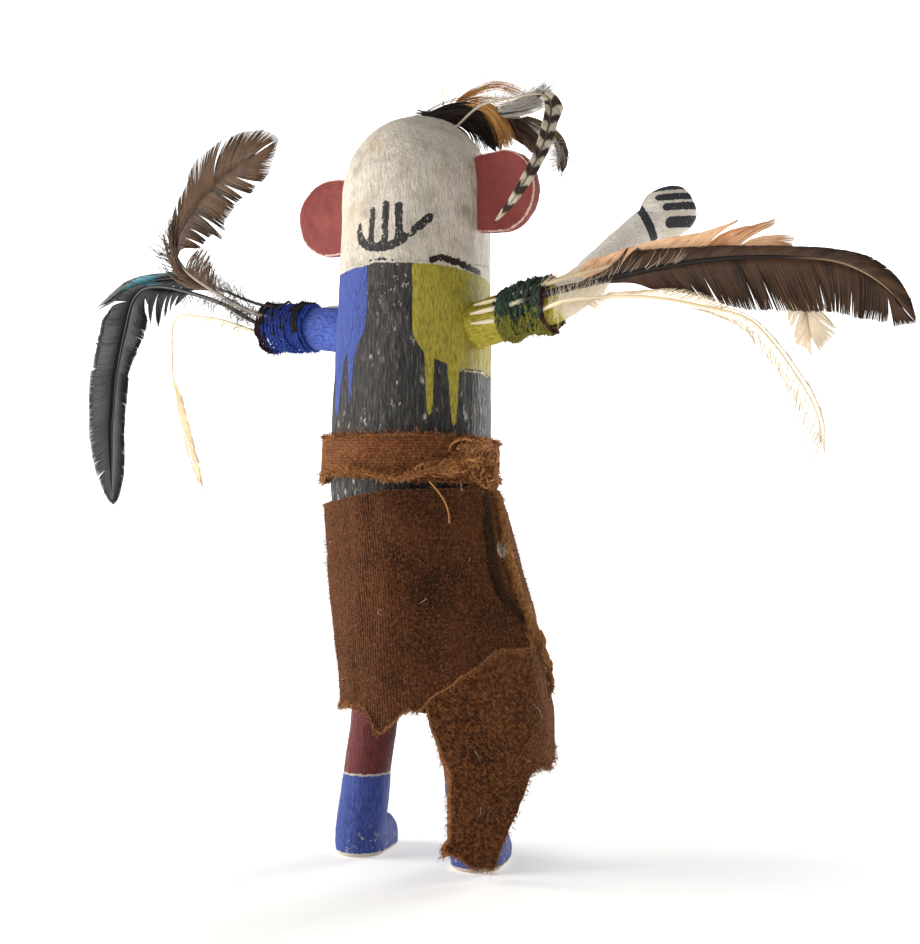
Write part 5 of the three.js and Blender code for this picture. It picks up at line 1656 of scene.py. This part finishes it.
def wool_finish(name, dark, middle, light, rim_colour, twill=True):
    wool = Finish(name, Roughness=1.0, Specular_IOR_Level=0.1, Sheen_Weight=0.5, Sheen_Tint=tint("b98a63"))
    weft, warp = wool.value("weft"), wool.value("warp")
    fuzzy = wool.noise(0.9, 4.0, 0.7)
    worn = wool.noise(14, 4.0, 0.6)
    slub = wool.noise(2.6, 3.0, 0.6)
    rib = wool.math("SINE", wool.math("MULTIPLY", wool.math("ADD", weft, wool.math("MULTIPLY", slub, 0.5)),
                                      2 * math.pi / 0.95))
    if twill:
        slant = wool.math("ADD", weft, wool.math("MULTIPLY", warp, -0.9))
        slant = wool.math("SINE", wool.math("MULTIPLY", wool.math("ADD", slant, slub), 2 * math.pi / 1.5))
        flap = wool.step(weft, *FLAP_EDGE)
        rib = wool.math("ADD", wool.math("MULTIPLY", rib, wool.math("SUBTRACT", 1.0, flap)),
                        wool.math("MULTIPLY", slant, flap))
    rib = wool.math("MULTIPLY_ADD", rib, 0.5, 0.5)
    mottle = wool.math("MULTIPLY_ADD", fuzzy, 0.75, wool.math("MULTIPLY", worn, 0.35))
    colour = wool.mix(wool.step(mottle, 0.42, 0.66), dark, middle)
    colour = wool.mix(wool.both(wool.step(fuzzy, 0.5, 0.8), wool.math("MULTIPLY_ADD", rib, 0.4, 0.45)), colour,
                      light)
    colour = wool.mix(wool.step(ragged(wool, "rim", 0.8, 1.0), 0.9, 0.2), colour, rim_colour)
    wool.relief((rib, 0.2), (fuzzy, 0.7), (slub, 0.45))
    return wool, colour


# %% Paint drips on the cloth
kilt_wool, kilt_colour = wool_finish("brown_wool", "28150d", "58321e", "96623c", "a5724a")
white_spot = kilt_point(np.array(88.0), np.array(110.0), 0)
green_spot = kilt_point(np.array(97.5), np.array(94.0), 0)


def stained(wool, colour):
    """The white and the yellow-green paint that dripped on the cloth."""
    for place, size, stain in ((white_spot, 4.2, "cfc6b4"), (green_spot, 3.6, "9a9a3c")):
        near = wool.put("ShaderNodeVectorMath", wool.spot, tuple(place), operation="DISTANCE")
        near = wool.math("MULTIPLY_ADD", wool.noise(1.6, 4.0, 0.7), 5, near.node.outputs["Value"])
        colour = wool.mix(wool.step(near, size + 1.2, size), colour, stain)
    return wool.done(colour)


# The flap is lighter in patches. The dark strip beside the outer edge is painted shade: the gap under the outer
# part's edge, darkened in the colour.
paler_flap_patches = kilt_wool.both(kilt_wool.step(kilt_wool.value("weft"), *FLAP_EDGE),
                            kilt_wool.step(kilt_wool.noise(1.3, 4.0, 0.7), 0.45, 0.65))
kilt_colour = kilt_wool.mix(kilt_wool.math("MULTIPLY", paler_flap_patches, 0.55), kilt_colour, "9c6237")
# Painted shade: a dark strip on the flap beside the outer part's edge.
painted_shade = kilt_wool.step(ragged(kilt_wool, "lap", 1.5, 2), 6.0, 3.8)
kilt_colour = kilt_wool.mix(painted_shade, kilt_colour, "1a0e08")
kilt = make_piece("wool_kilt", [kilt_sheet], stained(kilt_wool, kilt_colour))
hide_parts("kilt")


# %% Fibres on a surface
def nap_on(points_out, points_mid, count, length, seed, where, down=0.5, width=0.065, tone=None, bent=True):
    """Fibres on a grid of surface points. `where` weighs each point; fibres lie down and outwards."""
    dice = np.random.default_rng(seed)
    outward = unit(points_out - points_mid).reshape(-1, 3)
    roots = points_out.reshape(-1, 3)
    weight = where.ravel() / where.sum()
    pick = dice.choice(len(roots), count, p=weight)
    start = roots[pick] + dice.normal(0, 0.35, (count, 3))
    heading = unit(outward[pick] * 0.55 + np.array([0, 0, -down]) + dice.normal(0, 0.45, (count, 3)))
    size = length * dice.uniform(0.4, 1.3, (count, 1)) / 2
    bend = unit(heading + dice.normal(0, 0.6, (count, 3)))
    paths = np.stack([start - outward[pick] * 0.2, start + heading * size, start + (heading + bend) * size], 1)
    widths = np.array([[width, width * 0.8, width * 0.4]])
    if not bent:
        paths, widths = paths[:, ::2], widths[:, ::2]
    return strands(paths, widths, outward[pick][:, None].repeat(paths.shape[1], 1),
                   tone=dice.uniform(0, 1, (count, 1)) if tone is None else tone)


def fibre_finish(name, dark, light, pale):
    fibre = Finish(name, Roughness=0.9, Specular_IOR_Level=0.2)
    tone = fibre.value("tone")
    colour = fibre.mix(tone, dark, light)
    return fibre.done(fibre.mix(fibre.step(tone, 1.5, 1.6), colour, pale))


# %% Raise the nap
kilt_out, kilt_mid = kilt_layer(KILT_THICK / 2), kilt_layer(0)
seen = np.where((kilt_angle > 285) | (kilt_angle < 150), 1.0, 0.25)
nap_colours = fibre_finish("wool_nap", "2c170d", "a5683c", "d8cfc2")
nap = make_piece("kilt_nap", [
    nap_on(kilt_out, kilt_mid, 10800, 1.1, 84, seen, width=0.08, bent=False),
    nap_on(kilt_out, kilt_mid, 26, 6, 85, seen, width=0.09, tone=2.0),
], nap_colours)

# %% [markdown]
# ### The rolled edge beside the opening
#
# Where the outer part ends, the layer under it has been folded and has frayed into a soft light roll.
# It starts at the belt, runs down beside the outer edge and stands out at the hip.

# %% Roll the frayed edge
ROLL_ROUTE = np.array([  # angle, height
    [93, 133.2], [96, 128], [94, 116.6], [90.5, 102.7], [91.5, 93.2], [98.5, 83.6], [109, 73.3], [113.5, 66],
    [110, 60]])
ROLL_WIDE, ROLL_DEEP, ROLL_STEPS = 2.5, 1.5, 120
roll_angle, roll_z = smooth_path(ROLL_ROUTE, ROLL_STEPS).T
roll_route = kilt_point(roll_angle, roll_z, 1.5)
roll_out = unit(kilt_point(roll_angle, roll_z, 3.0) - kilt_point(roll_angle, roll_z, 0.0))
roll_along = unit(np.gradient(roll_route, axis=0))
roll_aside = unit(np.cross(roll_out, roll_along))
roll_turn = np.radians(np.arange(0, 360, 15))
ease = np.sin(np.linspace(0.12, math.pi - 0.12, ROLL_STEPS)) ** 0.4
roll_rings = roll_route[:, None] + ease[:, None, None] * (
    roll_aside[:, None] * (ROLL_WIDE * np.cos(roll_turn))[None, :, None]
    + roll_out[:, None] * (ROLL_DEEP * np.sin(roll_turn))[None, :, None])
lumps = 0.7 * waves(roll_rings.reshape(-1, 3), 5, 98) + 0.3 * waves(roll_rings.reshape(-1, 3), 1.8, 99)
roll_rings += unit(roll_rings - roll_route[:, None]) * lumps.reshape(roll_rings.shape[:2])[..., None]

# %% Fray the roll and the cut edges
roll_wool, roll_colour = wool_finish("frayed_roll", "6a4426", "a17040", "cc9d68", "b98a5c", twill=False)
roll = make_piece("kilt_frayed_roll", [skin(
    roll_rings, weft=roll_turn * 2, rim=1.0, warp=np.linspace(0, 75, ROLL_STEPS)[:, None])],
    stained(roll_wool, roll_colour))

frayed = np.exp(-np.maximum(from_rim, 0) / 0.5) * np.where(kilt_z > top - 1.2, 0.35, 1.0)
fray_colours = fibre_finish("wool_fray", "7c4a2a", "bd875a", "d8cfc2")
frays = make_piece("kilt_frays", [
    nap_on(kilt_out, kilt_mid, 2000, 1.9, 86, frayed, down=0.3, width=0.11),
    nap_on(kilt_mid, kilt_layer(-0.5), 700, 2.2, 87, frayed, down=0.9, width=0.1),
    nap_on(roll_rings, roll_route[:, None], 1000, 2.0, 88, np.ones(roll_rings.shape[:2]), width=0.09),
], fray_colours)

# %% [markdown]
# ## The belt and its knot
#
# The belt is a narrow folded strip of the same wool, ribbed along its length and frayed at both edges.
# It is tied at the right side of the back, where its torn ends make a tangle of loose yarn. The ring is
# a closed profile carried round the waist. A torus could be bent into one, but a table of heights gives
# each edge its own course. The tangle is many short strands that wander over five flattened lumps.

# %% The belt's ring
BELT_TOP = np.array([[-60, 148.3], [33, 149.5], [75, 148], [95, 147], [130, 146], [180, 148], [300, 148.3]])
BELT_BOTTOM = np.array([[-60, 132.2], [-45, 134.5], [-20, 135.6], [5, 134.8], [33, 133.6], [70, 132.6],
                        [110, 132.5], [180, 134.5], [260, 134], [300, 132.2]])
BELT_OUT, BELT_THICK, BELT_Z, BELT_MEAN_R = 31.3, 2.4, 141, 31
belt_turn = np.linspace(-60, 300, 361)[:-1]
belt_high, belt_low = np.interp(belt_turn, *BELT_TOP.T), np.interp(belt_turn, *BELT_BOTTOM.T)
round_profile = np.radians(np.arange(0, 360, 12))
profile_out, profile_up = (np.sign(v) * np.abs(v) ** power for v, power in (
    (np.cos(round_profile), 0.8), (np.sin(round_profile), 0.75)))
belt_grid = around(belt_turn[:, None], BELT_OUT + BELT_THICK / 2 * (profile_out - 1),
                   ((belt_high + belt_low)[:, None] + (belt_high - belt_low)[:, None] * profile_up) / 2)


def out_from_axis(points, z):
    """The level direction from the trunk's axis, where it is at height z, to each point."""
    return unit((points - np.append(axis_at(z), 0)) * [1, 1, 0])


outward = out_from_axis(belt_grid, BELT_Z)
belt_z = belt_grid[..., 2]
on_belt = np.stack([np.radians(belt_turn)[:, None] * BELT_MEAN_R + 0 * belt_z, belt_z, 0 * belt_z], -1)
puckers = 0.3 * waves(on_belt.reshape(-1, 3) * [1, 0.5, 1], 9, 90) + 0.12 * waves(on_belt.reshape(-1, 3), 3, 91)
belt_grid = belt_grid + outward * (puckers.reshape(belt_z.shape) - 0.2)[..., None]

# %% Weave the belt
index = np.arange(belt_z.size).reshape(belt_z.shape)
nxt, up = np.roll(index, -1, 0), np.roll(index, -1, 1)
belt_faces = np.stack([index, up, np.roll(nxt, -1, 1), nxt], -1).reshape(-1, 4)
belt_edge = 8.2 - np.abs(belt_z - BELT_Z)
belt_wool, belt_colour = wool_finish("belt_wool", "4b2c1a", "7c4a2c", "b07a4e", "a06c44", twill=False)
belt = make_piece("wool_belt", [(
    belt_grid.reshape(-1, 3), belt_faces, [],
    {"weft": belt_z.ravel(), "warp": on_belt[..., 0].ravel(), "rim": belt_edge.ravel()},
)], belt_wool.done(belt_colour))
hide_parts("belt")

# %% The knot's strands
KNOT_LUMPS = [  # angle, radius, height, half sizes along the belt, outwards and up
    (72, 31.0, 142.0, (8.0, 2.6, 6.0)), (88, 31.3, 138.2, (7.5, 3.2, 6.8)), (82, 31.4, 145.0, (6.5, 2.2, 3.0)),
    (56, 30.9, 138.0, (9.0, 1.5, 3.2)), (96, 31.0, 133.0, (4.5, 2.0, 3.5))]


def tangle(lump, count, length, seed, grow=(0.8, 1.06), width=(0.22, 0.42), steps=11):
    """Strands that wander over an egg-shaped lump."""
    dice = np.random.default_rng(seed)
    angle, radius, z, size = lump
    turn, size = math.radians(angle), np.array(size)
    frame = np.array([[-math.cos(turn), -math.sin(turn), 0], [-math.sin(turn), math.cos(turn), 0], [0, 0, 1]])
    centre = around(angle, radius, z)
    spot, heading = unit(dice.normal(size=(count, 3))), dice.normal(size=(count, 3))
    share = dice.uniform(*grow, (count, 1))
    paths = []
    for _ in range(steps):
        paths.append(centre + (spot * size * share) @ frame)
        level = heading - spot * (heading * spot).sum(1, keepdims=True)
        heading = unit(level + dice.normal(0, 0.45, (count, 3)))
        spot = unit(spot + heading * length / steps / size.mean())
        share = share + dice.normal(0, 0.035, (count, 1))
    paths = np.stack(paths, 1)
    thick = dice.uniform(*width, (count, 1))
    return strands(paths, thick, paths - centre, sides=4, tone=dice.uniform(0, 1, (count, 1)) ** 1.3)


# %% Where the belt frays
# The rows of the ring's profile that show: its outer side and both edges.
belt_out = belt_grid[:, [3, 4, 5, 6, 7, 8, 9, 0, 1, 2, 27, 28, 29, 25, 26]]
top_band = np.exp(-np.abs(belt_out[..., 2] - belt_high[:, None]) / 0.5)
low_band = np.exp(-np.abs(belt_out[..., 2] - belt_low[:, None]) / 0.7)
inwards = belt_out - out_from_axis(belt_out, BELT_Z)
EDGE_ROUTE = np.array([  # angle, radius, height
    [-8, 31.6, 138.2], [8, 32.2, 136.4], [26, 32.4, 134.6], [38, 32.5, 135.6], [50, 32.5, 138],
    [60, 32.6, 140.5], [68, 33, 141.5]])
TO_MM = [0.55, 1, 1]
edge_path = around(*(smooth_path(EDGE_ROUTE * TO_MM, 90) / TO_MM).T)
edge_out = out_from_axis(edge_path, 136)
LOOSE_ROUTE = np.array([  # angle, height
    [404, 133.5], [408.5, 130.2], [411, 126.5], [411.5, 122.8], [410.5, 119.6]])
loose_path = smooth_path(kilt_point(*LOOSE_ROUTE.T, 2.4), 30)

# %% Tie the belt
tangle_finish = fibre_finish("frayed_yarn", "6b3c20", "cb9059", "cfc2a8")
knot = make_piece("belt_knot", [
    *[tangle(lump, 40, 16, 920 + k, grow=(0.55, 0.75), width=(0.5, 0.8)) for k, lump in enumerate(KNOT_LUMPS)],
    *[tangle(lump, 72, 13, 930 + k) for k, lump in enumerate(KNOT_LUMPS)],
    *[tangle(lump, 45, 8, 940 + k, grow=(0.95, 1.15), width=(0.07, 0.14)) for k, lump in enumerate(KNOT_LUMPS)],
    fuzz(edge_path, edge_out, 800, 2.6, 89, width=0.1),
    twine(edge_path, edge_out, 1.9, 3.0, 0.8),
    twine(loose_path, edge_out[:1].repeat(30, 0), 0.7, 2.2, 0.9),
], tangle_finish)
belt_frays = make_piece("belt_frays", [
    nap_on(belt_out, inwards, 1300, 2.3, 95, top_band, down=-0.2, width=0.12),
    nap_on(belt_out, inwards, 1400, 2.4, 96, low_band, down=0.5, width=0.13),
    nap_on(belt_out, inwards, 500, 1.0, 97, np.ones(belt_out.shape[:2]), down=0.2, width=0.06),
], tangle_finish)


# %% [markdown]
# ## Sizes, and the end
# The solids' box and the finished doll's box are printed side by side, so that anyone can see that the finish
# hasn't made the doll bigger. Then the frame checks that every piece rides on something real.

# %% Print the sizes and finish
seen_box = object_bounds()
sizes = {"cad_box": [list(corner) for corner in cad_box], "visual_box": [list(corner) for corner in seen_box]}
for name, box in sizes.items():
    print(name, [round(1000 * (high - low), 1) for low, high in zip(*box)], "mm")
